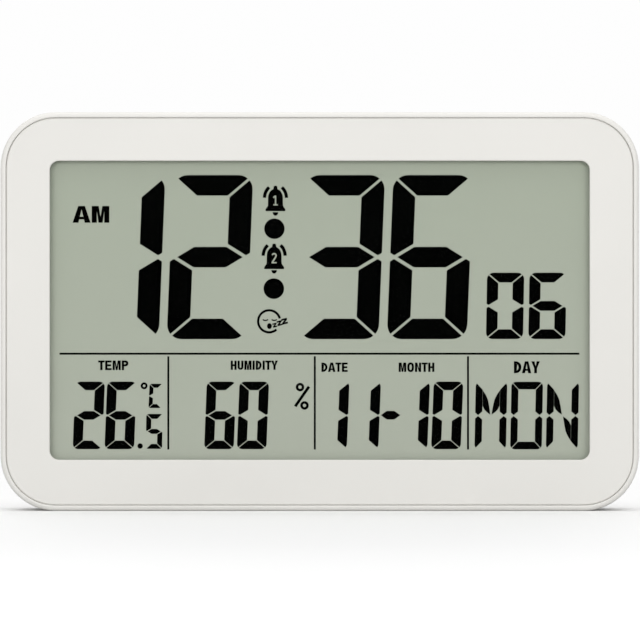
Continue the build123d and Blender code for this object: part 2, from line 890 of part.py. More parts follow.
# The battery door: a plate with two hooks below, a bent spring latch above, and grip lines
# with an arrow that shows which way the latch is pressed
with BuildPart() as battery_door:
    with BuildSketch(face(door_back)):
        with Locations((bay_across, bay_high)):
            RectangleRounded(door_width, door_tall, door_corner)
    extrude(amount=door_wall)
    with BuildSketch(face(door_front)):
        with Locations([(x, z + (hair + hook_root) / 2) for x, z in hook_places]):
            Rectangle(hook_width, hook_root - hair)
    extrude(amount=door_front - hook_front)
    with BuildSketch(face(door_seat - slip)):
        with Locations([(x, z + (hook_root - hook_reach) / 2) for x, z in hook_places]):
            Rectangle(hook_width, hook_root + hook_reach)
    extrude(amount=door_seat - slip - hook_front)
    with BuildSketch(Plane.YZ.offset(bay_across - latch_width / 2)):
        with BuildLine():
            Polyline((door_front + hair, latch_low), (latch_front, latch_low),
                     (latch_front, latch_high), (door_seat - slip, latch_high),
                     (door_seat - slip, latch_high - latch_wall),
                     (latch_front + latch_wall, latch_high - latch_wall),
                     (latch_front + latch_wall, latch_low + latch_wall),
                     (door_front + hair, latch_low + latch_wall), close=True)
        make_face()
    extrude(amount=latch_width)
    with BuildSketch(face(door_back)):
        with Locations((bay_across, door_top - grip_drop)):
            with GridLocations(grip_spacing, grip_spacing, 1, grip_count):
                Rectangle(grip_width, grip_tall)
        with Locations((bay_across, door_top - arrow_drop)):
            RegularPolygon(arrow_radius, 3, rotation=-90)
    extrude(amount=grip_deep, mode=Mode.SUBTRACT)
finish(battery_door, "battery_door")

# Two cells that lie one above the other, each with its nub the other way
for label, high, way in (("upper_battery", upper_high, 1), ("lower_battery", lower_high, -1)):
    with BuildPart() as cell:
        tip = bay_across + way * (bay_length / 2 - contact_wall - dimple_tall - hair)
        with BuildSketch(Plane.YZ.offset(tip - way * cell_length)):
            with Locations((cell_axis, mid + high)):
                Circle(cell_radius)
        extrude(amount=way * (cell_length - cell_nub_length))
        chamfer(cell.edges().filter_by(GeomType.CIRCLE), cell_edge)
        with BuildSketch(Plane.YZ.offset(tip)):
            with Locations((cell_axis, mid + high)):
                Circle(cell_nub)
        extrude(amount=-way * (cell_nub_length + hair))
    finish(cell, label)


# Sprung metal plates against the end walls of the bay. A raised point meets each nub, and
# the two on the right have a solder tag that goes through the wall.
for label, wall, way, high, tall, nub in (
        ("positive_contact", bay_right, 1, upper_high, contact_size, True),
        ("negative_contact", bay_right, 1, lower_high, contact_size, False),
        ("bridge_contact", bay_left, -1, bay_high, contact_size + cell_spacing, True)):
    with BuildPart() as contact:
        with BuildSketch(Plane.YZ.offset(wall)):
            with Locations((cell_axis, mid + high)):
                Rectangle(contact_size, tall)
        extrude(amount=-way * contact_wall)
        if nub:
            with BuildSketch(Plane.YZ.offset(wall - way * contact_wall)):
                with Locations((cell_axis, mid + (upper_high if way > 0 else lower_high))):
                    Circle(dimple_radius)
            extrude(amount=-way * dimple_tall)
            fillet(contact.edges().filter_by(GeomType.CIRCLE).sort_by(Axis.X)[0 if way > 0 else -1],
                   dimple_tall - hair)
        if way > 0:
            with BuildSketch(Plane.YZ.offset(wall)):
                with Locations((cell_axis, mid + high)):
                    Rectangle(tag_width, contact_wall)
            extrude(amount=bay_wall + tag_length)
    finish(contact, label)

# Tapered coil springs that push on the flat ends of the cells
with BuildPart() as contact_springs:
    for wall, way, high in ((bay_right, 1, lower_high), (bay_left, -1, upper_high)):
        with BuildLine() as coil:
            Helix(spring_step, spring_length, spring_base,
                  center=(wall - way * (contact_wall + pin_slip + spring_wire), cell_axis,
                          mid + high),
                  direction=(-way, 0, 0), cone_angle=-spring_taper)
        with BuildSketch(Plane(origin=coil.line @ 0, z_dir=coil.line % 0)):
            RegularPolygon(spring_wire, wire_sides)
        sweep(path=coil.line)
finish(contact_springs, "contact_springs")

# The sounder: a brass disc with a ceramic disc on its front
with BuildPart() as sounder_disc:
    with BuildSketch(face(sounder_back)):
        with Locations((sounder_across, sounder_high)):
            Circle(sounder_radius)
    extrude(amount=sounder_wall)
finish(sounder_disc, "sounder_disc")

with BuildPart() as sounder_ceramic:
    with BuildSketch(face(sounder_front)):
        with Locations((sounder_across, sounder_high)):
            Circle(ceramic_radius)
    extrude(amount=ceramic_wall)
finish(sounder_ceramic, "sounder_ceramic")

# The sensor board with its humidity sensor and its temperature bead
with BuildPart() as sensor_board:
    with BuildSketch(face(sensor_back)):
        with Locations((sounder_across, sensor_high)):
            Rectangle(sensor_width, sensor_tall)
        with Locations(sensor_posts):
            Circle(sensor_pin + pin_slip, mode=Mode.SUBTRACT)
    extrude(amount=sensor_wall)
finish(sensor_board, "sensor_board")

with BuildPart() as humidity_sensor:
    with BuildSketch(face(sensor_back + humidity_thick)):
        with Locations((sounder_across - humidity_offset, sensor_high)):
            Rectangle(humidity_width, humidity_tall)
    extrude(amount=humidity_thick)
    with BuildSketch(face(sensor_back + humidity_thick)):
        with Locations((sounder_across - humidity_offset, sensor_high)):
            with GridLocations(humidity_spacing, humidity_spacing, 3, 3):
                Circle(humidity_hole)
    extrude(amount=humidity_thick / 2, mode=Mode.SUBTRACT)
finish(humidity_sensor, "humidity_sensor")

with BuildPart() as temperature_bead:
    with Locations(along(sensor_back + bead_high, [(sounder_across + bead_offset, sensor_high)])):
        Sphere(bead_radius)
    with BuildSketch(face(sensor_back + bead_high)):
        with Locations([(sounder_across + bead_offset + side * bead_radius / 2, sensor_high)
                        for side in (-1, 1)]):
            Circle(bead_leg)
    extrude(amount=bead_high)
finish(temperature_bead, "temperature_bead")

# Insulated leads from the battery tags, the sounder and the sensor board to the main board
tag_end = bay_right + bay_wall + tag_length
lead_run = width / 2 - rim_wall - lead_wall_gap
battery_routes = []
for high, run, pad, turn in (
        (upper_high, lead_run - lead_step, pad_across - 2 * lead_step, lead_turn),
        (lower_high, lead_run, pad_across, lead_turn + lead_step)):
    battery_routes.append([(tag_end, cell_axis, mid + high), (run, cell_axis, mid + high),
                           (run, cell_axis, mid + turn), (pad, lead_level, mid + pad_high),
                           (pad, board_back, mid + pad_high)])
finish(leads(battery_routes), "battery_leads")

sounder_routes = []
for reach, level, drop, run in (
        (sounder_radius - lead_step / 2, sounder_front, 0, pad_left),
        (ceramic_radius - lead_step, sounder_front - ceramic_wall, 2 * lead_step,
         pad_left + lead_step)):
    start = (sounder_across + reach, level, mid + sounder_high - drop)
    sounder_routes.append([start, (start[0], lead_low, start[2]),
                           (run, lead_low, start[2] + sounder_radius - 2 * drop),
                           (run, lead_low, mid + pad_high), (run, board_back, mid + pad_high)])
finish(leads(sounder_routes), "sounder_leads")

sensor_routes = []
for i in range(sensor_lead_count):
    high = mid + sensor_high + (i - (sensor_lead_count - 1) / 2) * lead_step
    side = sounder_across + sensor_width / 2 - lead_radius - hair
    run = pad_left + (2 + sensor_lead_count + 1 - i) * lead_step
    sensor_routes.append([(side, sensor_front, high), (side, lead_under, high),
                          (run, lead_under, high), (run, lead_under, mid + pad_low),
                          (run, board_back, mid + pad_low)])
finish(leads(sensor_routes), "sensor_leads")
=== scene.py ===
# %% [markdown]
# # A clock with a large reflective display
# The clock is a flat white case, 220 mm wide, round a clear window. Behind the window lies
# a grey-green display cell whose dark segments show time, alarms, temperature, humidity and
# date. The case, the stand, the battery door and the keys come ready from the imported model,
# and this lesson dresses them: camera and light first, then finishes, then the display.

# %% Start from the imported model
import json
import math

import bpy
import numpy as np
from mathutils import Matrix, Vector
from mathutils.geometry import tessellate_polygon


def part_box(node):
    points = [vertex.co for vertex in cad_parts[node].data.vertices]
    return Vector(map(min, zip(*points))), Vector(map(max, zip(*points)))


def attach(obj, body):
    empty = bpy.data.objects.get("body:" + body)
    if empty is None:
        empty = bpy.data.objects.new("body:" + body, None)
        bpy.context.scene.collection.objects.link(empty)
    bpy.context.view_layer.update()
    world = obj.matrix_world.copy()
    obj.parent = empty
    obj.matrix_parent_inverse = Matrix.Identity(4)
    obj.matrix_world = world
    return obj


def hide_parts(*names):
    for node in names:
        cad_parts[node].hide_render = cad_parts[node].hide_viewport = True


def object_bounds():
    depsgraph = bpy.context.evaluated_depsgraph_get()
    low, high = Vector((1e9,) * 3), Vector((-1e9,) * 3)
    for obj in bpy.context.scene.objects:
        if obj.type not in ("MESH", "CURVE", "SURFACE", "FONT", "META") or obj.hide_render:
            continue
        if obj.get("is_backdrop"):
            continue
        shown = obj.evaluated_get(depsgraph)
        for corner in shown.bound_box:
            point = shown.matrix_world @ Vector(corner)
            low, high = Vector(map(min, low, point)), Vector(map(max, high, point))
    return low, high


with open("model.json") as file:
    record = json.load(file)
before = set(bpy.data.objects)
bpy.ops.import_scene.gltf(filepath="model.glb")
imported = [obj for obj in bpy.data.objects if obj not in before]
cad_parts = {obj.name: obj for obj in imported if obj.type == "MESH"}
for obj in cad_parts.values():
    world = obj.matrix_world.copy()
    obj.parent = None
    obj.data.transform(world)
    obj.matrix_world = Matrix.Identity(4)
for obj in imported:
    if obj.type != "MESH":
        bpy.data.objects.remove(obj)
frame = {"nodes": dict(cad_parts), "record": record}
nodes = frame["nodes"]
cad_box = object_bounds()
mm = 0.001
print("nodes:", len(nodes), "box:", [tuple(round(v, 4) for v in corner) for corner in cad_box])

# %% [markdown]
# ## Camera
# The photograph is taken straight from the front with a long lens: both sides of the rim are
# the same width, and the lower edge is level. The clock fills the whole width of a square
# frame, and its middle is a little above the middle of the frame. So the camera stands far
# away, level, slightly below the clock's middle, and the lens is worked out from the width
# that the frame has to take in at the clock's front.

# %% Camera
scene = bpy.context.scene
low, high = cad_box
case_middle = (low + high) / 2
frame_width = 220.58 * mm
camera_away = 1.5
camera_right = 0.1 * mm
camera_drop = 2.93 * mm
front_edge = low.y + 1.3 * mm

camera_data = bpy.data.cameras.new("camera")
camera_data.sensor_width = 36
camera_data.lens = camera_data.sensor_width * camera_away / frame_width
camera = bpy.data.objects.new("camera", camera_data)
camera.location = (camera_right, front_edge - camera_away, case_middle.z - camera_drop)
camera.rotation_euler = (math.pi / 2, 0, 0)
scene.collection.objects.link(camera)
scene.camera = camera
print("lens:", round(camera_data.lens, 1), "mm")

# %% [markdown]
# ## Floor and light
# The clock stands on a white sweep in very soft light. One wide panel hangs above and a
# little in front, so the top of the rim is brightest. A second panel, high behind the camera,
# fills the face, and with its light the window's upper edge throws a short soft shadow. It
# hangs high so that the window doesn't mirror it. Two more stand low at the sides, so that the
# window's edges throw short shadows on the display. One behind the clock lights its back. An
# even white surround does the rest: it looks white, but lights the clock less than it looks.

# %% Floor and light
floor_half = 0.9


def white_floor():
    """A square at z = 0 that reaches floor_half to each side. It looks whiter than the light
    that it gives back, through its two tones."""
    sides = np.array([(-1, -1, 0), (1, -1, 0), (1, 1, 0), (-1, 1, 0)]) * floor_half
    mesh = bpy.data.meshes.new("floor")
    mesh.from_pydata(sides.tolist(), [], [(0, 1, 2, 3)])
    floor = bpy.data.objects.new("floor", mesh)
    scene.collection.objects.link(floor)
    paint = bpy.data.materials.new("floor_white")
    paint.use_nodes = True
    shader = paint.node_tree.nodes["Principled BSDF"]
    shader.inputs["Roughness"].default_value = 0.7
    shader.inputs["Specular IOR Level"].default_value = 0.1
    paths = paint.node_tree.nodes.new("ShaderNodeLightPath")
    white = paint.node_tree.nodes.new("ShaderNodeMapRange")
    white.inputs["To Min"].default_value, white.inputs["To Max"].default_value = 0.6, 0.99
    paint.node_tree.links.new(paths.outputs["Is Camera Ray"], white.inputs["Value"])
    paint.node_tree.links.new(white.outputs["Result"], shader.inputs["Base Color"])
    mesh.materials.append(paint)
    floor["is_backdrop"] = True


def soft_panel(name, place, size, power):
    """A rectangular light of that size in metres, turned to face the clock's middle."""
    data = bpy.data.lights.new(name, "AREA")
    data.shape = "RECTANGLE"
    data.size, data.size_y = size
    data.energy = power
    panel = bpy.data.objects.new(name, data)
    panel.location = place
    aim = case_middle - Vector(place)
    panel.rotation_mode = "QUATERNION"
    panel.rotation_quaternion = aim.to_track_quat("-Z", "Y")
    scene.collection.objects.link(panel)


white_floor()
soft_panel("top_panel", (0, -0.15, 2.4), (2.8, 2.0), 27)
soft_panel("fill_panel", (0, -2.4, 1.0), (2.2, 0.9), 16.5)
soft_panel("left_panel", (-1.3, -2.0, 0.15), (0.9, 0.9), 9)
soft_panel("right_panel", (1.3, -2.0, 0.15), (0.9, 0.9), 9)
soft_panel("back_panel", (0, 2.2, 1.0), (2.0, 0.9), 12)
world = bpy.data.worlds.new("white_surround")
scene.world = world
world.use_nodes = True
surround = world.node_tree.nodes["Background"]
surround.inputs["Color"].default_value = (1, 1, 1, 1)
paths = world.node_tree.nodes.new("ShaderNodeLightPath")
seen = world.node_tree.nodes.new("ShaderNodeMapRange")
seen.inputs["To Min"].default_value, seen.inputs["To Max"].default_value = 0.48, 0.99
world.node_tree.links.new(paths.outputs["Is Camera Ray"], seen.inputs["Value"])
world.node_tree.links.new(seen.outputs["Result"], surround.inputs["Strength"])
scene.view_settings.view_transform = "Standard"

# %% [markdown]
# ## Finishes: shared effects
# Moulded plastic is never quite flat: the mould is spark-eroded, which leaves a fine grain,
# and the plastic itself varies by a shade over some centimetres. Rolled and drawn metal has
# fine lines along one direction instead. Both effects are shader node groups, so each
# material can place one with its own sizes. They put out only values, and each material
# keeps its own shader.

# %% Node groups for grain and lines
def new_group(name, takes, gives):
    """An empty shader group with those float inputs and outputs; takes starts with a vector."""
    group = bpy.data.node_groups.new(name, "ShaderNodeTree")
    group.interface.new_socket("Vector", in_out="INPUT", socket_type="NodeSocketVector")
    for label, value in takes.items():
        socket = group.interface.new_socket(label, in_out="INPUT", socket_type="NodeSocketFloat")
        socket.default_value = value
    for label in gives:
        group.interface.new_socket(label, in_out="OUTPUT", socket_type="NodeSocketFloat")
    return group, group.nodes.new("NodeGroupInput"), group.nodes.new("NodeGroupOutput")


def noise(tree, vector, scale, detail=2.0):
    """A noise node; scale may be a number or a socket."""
    node = tree.nodes.new("ShaderNodeTexNoise")
    node.inputs["Detail"].default_value = detail
    tree.links.new(vector, node.inputs["Vector"])
    if isinstance(scale, (int, float)):
        node.inputs["Scale"].default_value = scale
    else:
        tree.links.new(scale, node.inputs["Scale"])
    return node.outputs["Fac"]


def moulded_grain():
    """Grain: fine noise, its peaks flattened. Mottle: the same noise, far larger and soft."""
    group, given, result = new_group(
        "moulded_grain", {"Grain scale": 3000.0, "Mottle scale": 25.0}, ["Grain", "Mottle"])
    fine = noise(group, given.outputs["Vector"], given.outputs["Grain scale"], 3.0)
    flatten = group.nodes.new("ShaderNodeMapRange")
    flatten.interpolation_type = "SMOOTHSTEP"
    flatten.inputs["From Min"].default_value = 0.35
    flatten.inputs["From Max"].default_value = 0.65
    group.links.new(fine, flatten.inputs["Value"])
    group.links.new(flatten.outputs["Result"], result.inputs["Grain"])
    broad = noise(group, given.outputs["Vector"], given.outputs["Mottle scale"], 1.0)
    group.links.new(broad, result.inputs["Mottle"])
    return group


def drawn_lines():
    """Lines: noise stretched thirty times along X, so that it reads as fine parallel lines."""
    group, given, result = new_group("drawn_lines", {"Line scale": 2500.0}, ["Lines"])
    stretch = group.nodes.new("ShaderNodeVectorMath")
    stretch.operation = "MULTIPLY"
    stretch.inputs[1].default_value = (1 / 30, 1, 1)
    group.links.new(given.outputs["Vector"], stretch.inputs[0])
    fine = noise(group, stretch.outputs["Vector"], given.outputs["Line scale"], 2.0)
    group.links.new(fine, result.inputs["Lines"])
    return group


GRAIN, LINES = moulded_grain(), drawn_lines()
print("groups:", [g.name for g in (GRAIN, LINES)])

# %% [markdown]
# ## Finishes: a maker's helper
# Each finish starts with the same few steps: a material named after its slot in the record,
# a shader with its constant numbers, Object coordinates, a tone that varies between two
# colours, and a bump. A helper does these once. The pattern that drives the tone and the
# bump is handed in, so that plastic, metal and lacquer differ in more than colour.

# %% Finish helper
finishes = {}


class Finish:
    """A material for one slot, with short calls for the nodes that every finish has."""

    def __init__(self, slot, rough, metal=0.0, shine=0.5):
        self.material = bpy.data.materials.new(slot)
        self.material.use_nodes = True
        self.tree = self.material.node_tree
        self.shader = self.tree.nodes["Principled BSDF"]
        self.set("Roughness", rough)
        self.set("Metallic", metal)
        self.set("Specular IOR Level", shine)
        self.here = self.tree.nodes.new("ShaderNodeTexCoord").outputs["Object"]
        finishes[slot] = self.material

    def set(self, label, value):
        """A constant, straight on the shader's own socket."""
        self.shader.inputs[label].default_value = value

    def effect(self, group, **values):
        """A placed node group, fed with Object coordinates."""
        node = self.tree.nodes.new("ShaderNodeGroup")
        node.node_tree = group
        self.tree.links.new(self.here, node.inputs["Vector"])
        for label, value in values.items():
            node.inputs[label.replace("_", " ")].default_value = value
        return node.outputs

    def tone(self, mask, dark, light, low=0.3, high=0.7):
        """Base colour between dark and light, as mask goes from low to high."""
        ramp = self.tree.nodes.new("ShaderNodeValToRGB")
        ramp.color_ramp.elements[0].position, ramp.color_ramp.elements[1].position = low, high
        ramp.color_ramp.elements[0].color = (*dark, 1)
        ramp.color_ramp.elements[1].color = (*light, 1)
        self.tree.links.new(mask, ramp.inputs["Fac"])
        self.tree.links.new(ramp.outputs["Color"], self.shader.inputs["Base Color"])
        return ramp.outputs["Color"]

    def vary(self, label, mask, least, most):
        """A shader value that goes from least to most with mask."""
        span = self.tree.nodes.new("ShaderNodeMapRange")
        span.inputs["To Min"].default_value, span.inputs["To Max"].default_value = least, most
        self.tree.links.new(mask, span.inputs["Value"])
        self.tree.links.new(span.outputs["Result"], self.shader.inputs[label])

    def bump(self, mask, depth, strength=0.5):
        """Relief of that depth in metres, added to any relief that is there already."""
        node = self.tree.nodes.new("ShaderNodeBump")
        node.inputs["Distance"].default_value = depth
        node.inputs["Strength"].default_value = strength
        self.tree.links.new(mask, node.inputs["Height"])
        normal = self.shader.inputs["Normal"]
        if normal.is_linked:
            self.tree.links.new(normal.links[0].from_socket, node.inputs["Normal"])
        self.tree.links.new(node.outputs["Normal"], normal)

    def axis(self, letter):
        """One Object coordinate, in metres."""
        split = self.tree.nodes.new("ShaderNodeSeparateXYZ")
        self.tree.links.new(self.here, split.inputs["Vector"])
        return split.outputs[letter]


def shade(colour, factor):
    """A colour made lighter or darker by a factor, kept within 0 and 1."""
    return tuple(min(1.0, part * factor) for part in colour)


# %% [markdown]
# ## Plastics
# The case is warm white ABS with a fine satin grain. The keys are a softer grey, and the
# holder, the plungers and the sensor's cap are the usual black and white engineering
# plastics. One small table gives their colours and sizes, because the recipe is the same:
# mottle changes the tone, by a percent on the case and by more on dark pieces, and grain
# changes roughness and relief.

# %% Plastics
plastics = {
    # slot: (colour, roughness, grain scale, grain depth in mm, change of tone)
    "case_white": ((0.805, 0.792, 0.755), 0.50, 2600.0, 0.012, 0.012),
    "key_grey": ((0.40, 0.40, 0.39), 0.48, 3200.0, 0.010, 0.03),
    "holder_black": ((0.045, 0.045, 0.046), 0.55, 2200.0, 0.015, 0.10),
    "plunger_white": ((0.70, 0.70, 0.68), 0.40, 4000.0, 0.006, 0.03),
    "sensor_white": ((0.80, 0.80, 0.78), 0.42, 4000.0, 0.006, 0.02),
    "adhesive_black": ((0.022, 0.022, 0.022), 0.85, 5000.0, 0.030, 0.20),
    "chip_black": ((0.020, 0.020, 0.021), 0.38, 6000.0, 0.006, 0.15),
    "lead_red": ((0.42, 0.025, 0.025), 0.45, 3000.0, 0.006, 0.06),
    "lead_black": ((0.030, 0.030, 0.032), 0.45, 3000.0, 0.006, 0.10),
}
for slot, (colour, rough, grain_scale, grain_depth, change) in plastics.items():
    finish = Finish(slot, rough)
    pattern = finish.effect(GRAIN, Grain_scale=grain_scale, Mottle_scale=30.0)
    finish.tone(pattern["Mottle"], shade(colour, 1 - change), shade(colour, 1 + change))
    finish.vary("Roughness", pattern["Grain"], rough - 0.05, rough + 0.06)
    finish.bump(pattern["Grain"], grain_depth * mm)
print("plastics:", len(plastics))

# %% [markdown]
# ## Metals
# Springs and contacts are nickel plated, the screws zinc plated, and the sounder's disc is
# rolled brass. The reflector behind the display is brushed film. All show fine lines, which
# change roughness more than colour.

# %% Metals
metals = {
    # slot: (colour, roughness, line scale, line depth in mm)
    "contact_nickel": ((0.68, 0.66, 0.62), 0.26, 3000.0, 0.003),
    "screw_zinc": ((0.62, 0.62, 0.61), 0.32, 2600.0, 0.004),
    "sounder_brass": ((0.72, 0.52, 0.22), 0.30, 2200.0, 0.004),
    "reflector_film": ((0.66, 0.68, 0.66), 0.38, 1800.0, 0.006),
}
for slot, (colour, rough, line_scale, line_depth) in metals.items():
    finish = Finish(slot, rough, metal=1.0)
    lines = finish.effect(LINES, Line_scale=line_scale)["Lines"]
    finish.tone(lines, shade(colour, 0.93), shade(colour, 1.05))
    finish.vary("Roughness", lines, rough - 0.08, rough + 0.10)
    finish.bump(lines, line_depth * mm, 0.4)
print("metals:", len(metals))

# %% [markdown]
# ## Board, ceramic, strip and sleeve
# The board's lacquer shows copper tracks as a slightly lighter green, so a fine brick pattern
# stands in for them. The sounder's ceramic is a pale tan with fine pores, the strip
# is layered rubber whose stripes are a fifth of a millimetre apart, and the can wears a dark
# glossy sleeve.

# %% Board, ceramic, strip and sleeve
board = Finish("board_green", 0.28)
tracks = board.tree.nodes.new("ShaderNodeTexBrick")
tracks.inputs["Scale"].default_value = 180.0
tracks.inputs["Mortar Size"].default_value = 0.045
turn = board.tree.nodes.new("ShaderNodeMapping")
turn.inputs["Rotation"].default_value = (math.pi / 2, 0, 0)
board.tree.links.new(board.here, turn.inputs["Vector"])
board.tree.links.new(turn.outputs["Vector"], tracks.inputs["Vector"])
board.tone(tracks.outputs["Fac"], (0.018, 0.115, 0.045), (0.035, 0.20, 0.075), 0.2, 0.8)
board.bump(tracks.outputs["Fac"], 0.03 * mm, 0.6)

ceramic = Finish("ceramic_tan", 0.7)
pores = ceramic.effect(GRAIN, Grain_scale=4500.0, Mottle_scale=200.0)
ceramic.tone(pores["Mottle"], (0.50, 0.38, 0.25), (0.60, 0.47, 0.32))
ceramic.bump(pores["Grain"], 0.02 * mm)

strip = Finish("strip_rubber", 0.6)
layers = strip.tree.nodes.new("ShaderNodeTexWave")
layers.inputs["Scale"].default_value = 1600.0
strip.tree.links.new(strip.here, layers.inputs["Vector"])
strip.tone(layers.outputs["Fac"], (0.02, 0.02, 0.02), (0.35, 0.35, 0.37), 0.45, 0.55)

sleeve = Finish("can_sleeve", 0.25)
print_marks = sleeve.effect(GRAIN, Grain_scale=1500.0, Mottle_scale=300.0)
sleeve.tone(print_marks["Mottle"], (0.02, 0.03, 0.10), (0.03, 0.045, 0.14))
sleeve.bump(print_marks["Grain"], 0.004 * mm)
print("finishes so far:", len(finishes))

# %% [markdown]
# ## Jacket of the cells
# A cell wears a printed plastic jacket. It is left plain here: a slate blue, a pale ring near
# the nub, and a plus and a minus sign so that nobody puts it in the wrong way. The jacket's
# own wrap coordinates tell how far along and how far round a point is, and each bar of a
# sign is where both lie near a given value.

# %% Cell jacket
cell_long, cell_round = 44.5, 5.25
jacket = Finish("cell_jacket", 0.28)
wrap = jacket.tree.nodes.new("ShaderNodeUVMap")
wrap.uv_map = "wrap"
split = jacket.tree.nodes.new("ShaderNodeSeparateXYZ")
jacket.tree.links.new(wrap.outputs["UV"], split.inputs["Vector"])
along_cell, round_cell = split.outputs["X"], split.outputs["Y"]


def near(value, middle, half, tree=jacket.tree):
    """1 where value is within half of middle, else 0."""
    node = tree.nodes.new("ShaderNodeMath")
    node.operation = "COMPARE"
    node.inputs[1].default_value, node.inputs[2].default_value = middle, half
    tree.links.new(value, node.inputs[0])
    return node.outputs["Value"]


def both(first, second, operation="MULTIPLY", tree=jacket.tree):
    """Two masks as one: where both are 1, or with MAXIMUM where either is."""
    node = tree.nodes.new("ShaderNodeMath")
    node.operation = operation
    tree.links.new(first, node.inputs[0])
    tree.links.new(second, node.inputs[1])
    return node.outputs["Value"]


turn_mm = 2 * math.pi * cell_round
marks = near(along_cell, 0.86, 0.3 / cell_long)
for middle, bars in ((0.92, ((0.3, 1.1), (1.1, 0.3))), (0.08, ((0.3, 1.1),))):
    for half_along, half_round in bars:
        for place in (0.25, 0.75):
            bar = both(near(along_cell, middle, half_along / cell_long),
                       near(round_cell, place, half_round / turn_mm))
            marks = both(marks, bar, "MAXIMUM")
jacket.tone(marks, (0.07, 0.105, 0.15), (0.72, 0.73, 0.72))
skin = jacket.effect(GRAIN, Grain_scale=1800.0, Mottle_scale=90.0)
jacket.vary("Roughness", skin["Mottle"], 0.22, 0.34)
jacket.bump(skin["Grain"], 0.003 * mm)
print("jacket nodes:", len(jacket.tree.nodes))

# %% [markdown]
# ## The display's face
# A reflective display looks grey-green because its polariser and reflector return light from
# outside. Its grey is painted a shade lighter towards the lower edge: painted light, not a
# colour of the film. The material mixes two greys by height for it, and the mottle keeps it
# from looking printed. It is quite matt, since the film is an anti-glare type.

# %% Display face
window_low, window_high = 17.6 * mm, 120.6 * mm
display = Finish("display_face", 0.65, shine=0.15)
# Height across the window, from its lower to its upper edge, for the painted light.
painted_light_mask = display.tree.nodes.new("ShaderNodeMapRange")
painted_light_mask.inputs["From Min"].default_value = window_low
painted_light_mask.inputs["From Max"].default_value = window_high
display.tree.links.new(display.axis("Z"), painted_light_mask.inputs["Value"])
film = display.effect(GRAIN, Grain_scale=5000.0, Mottle_scale=18.0)
mottle_and_painted_light = display.tree.nodes.new("ShaderNodeMath")
mottle_and_painted_light.operation = "MULTIPLY_ADD"
mottle_and_painted_light.inputs[1].default_value = 0.35
display.tree.links.new(film["Mottle"], mottle_and_painted_light.inputs[0])
display.tree.links.new(painted_light_mask.outputs["Result"], mottle_and_painted_light.inputs[2])
# Painted light: the lighter grey goes to the lower edge and the darker one to the top, with the
# mottle on top.
display.tone(mottle_and_painted_light.outputs["Value"], (0.434, 0.464, 0.392), (0.392, 0.431, 0.350), 0.0, 1.3)
display.bump(film["Grain"], 0.004 * mm, 0.3)

segment = Finish("segment_black", 0.9, shine=0.0)
grain = segment.effect(GRAIN, Grain_scale=5000.0, Mottle_scale=60.0)
segment.tone(grain["Mottle"], (0.0004, 0.0005, 0.0004), (0.0008, 0.001, 0.0008))

# %% [markdown]
# ## Clear window and display glass
# The window is clear acrylic with a dull coat against reflections, so it mirrors very
# little. Light has to pass it freely to reach the display. The shader is glass for what the
# camera sees, and plainly see-through for shadow and diffuse rays: that is what Light Path
# tells apart.

# %% Clear sheets
def clear_sheet(slot, tint, bend, rough):
    """Glass to the eye, open to shadow and diffuse rays."""
    sheet = Finish(slot, rough)
    tree = sheet.tree
    sheet.set("Transmission Weight", 1.0)
    sheet.set("IOR", bend)
    scratches = sheet.effect(LINES, Line_scale=900.0)["Lines"]
    sheet.tone(scratches, shade(tint, 0.995), tint)
    paths = tree.nodes.new("ShaderNodeLightPath")
    either = tree.nodes.new("ShaderNodeMath")
    either.operation = "MAXIMUM"
    tree.links.new(paths.outputs["Is Shadow Ray"], either.inputs[0])
    tree.links.new(paths.outputs["Is Diffuse Ray"], either.inputs[1])
    open_way = tree.nodes.new("ShaderNodeBsdfTransparent")
    mix = tree.nodes.new("ShaderNodeMixShader")
    tree.links.new(either.outputs["Value"], mix.inputs["Fac"])
    tree.links.new(sheet.shader.outputs["BSDF"], mix.inputs[1])
    tree.links.new(open_way.outputs["BSDF"], mix.inputs[2])
    tree.links.new(mix.outputs["Shader"], tree.nodes["Material Output"].inputs["Surface"])


clear_sheet("window_clear", (1.0, 1.0, 1.0), 1.06, 0.02)
clear_sheet("display_glass", (0.93, 0.97, 0.95), 1.3, 0.02)
print("clear sheets made")

# %% [markdown]
# ## Give each node its finish
# The record says which slot each node takes its finish from. So the finishes can be handed
# out in one loop, with no list of names here, and a node that was forgotten would stop the
# script.

# %% Hand out the finishes
slot_of = {part["node"]: part["material_slot"] for part in frame["record"]["subparts"]}
for name, item in nodes.items():
    item.data.materials.clear()
    item.data.materials.append(finishes[slot_of[name]])
print("slots in use:", len(set(slot_of.values())))

# %% [markdown]
# ## Flat signs as surfaces
# Segments, letters and signs are all thin flat pieces. Each is one or more closed outlines
# in the plane of the face: the first is the outer edge, others are holes. A filled outline
# gives the front, the same outline set back gives the rear, and the strip between them closes
# the edge. Outlines are arrays of points, and all points of a sign are handled together.

# %% Helper for flat signs
def turned(loop, anticlockwise):
    """The loop, reversed if its signed area has the wrong sign."""
    x, z = loop.T
    area = np.sum(x * np.roll(z, -1) - z * np.roll(x, -1))
    return loop if (area > 0) == anticlockwise else loop[::-1]


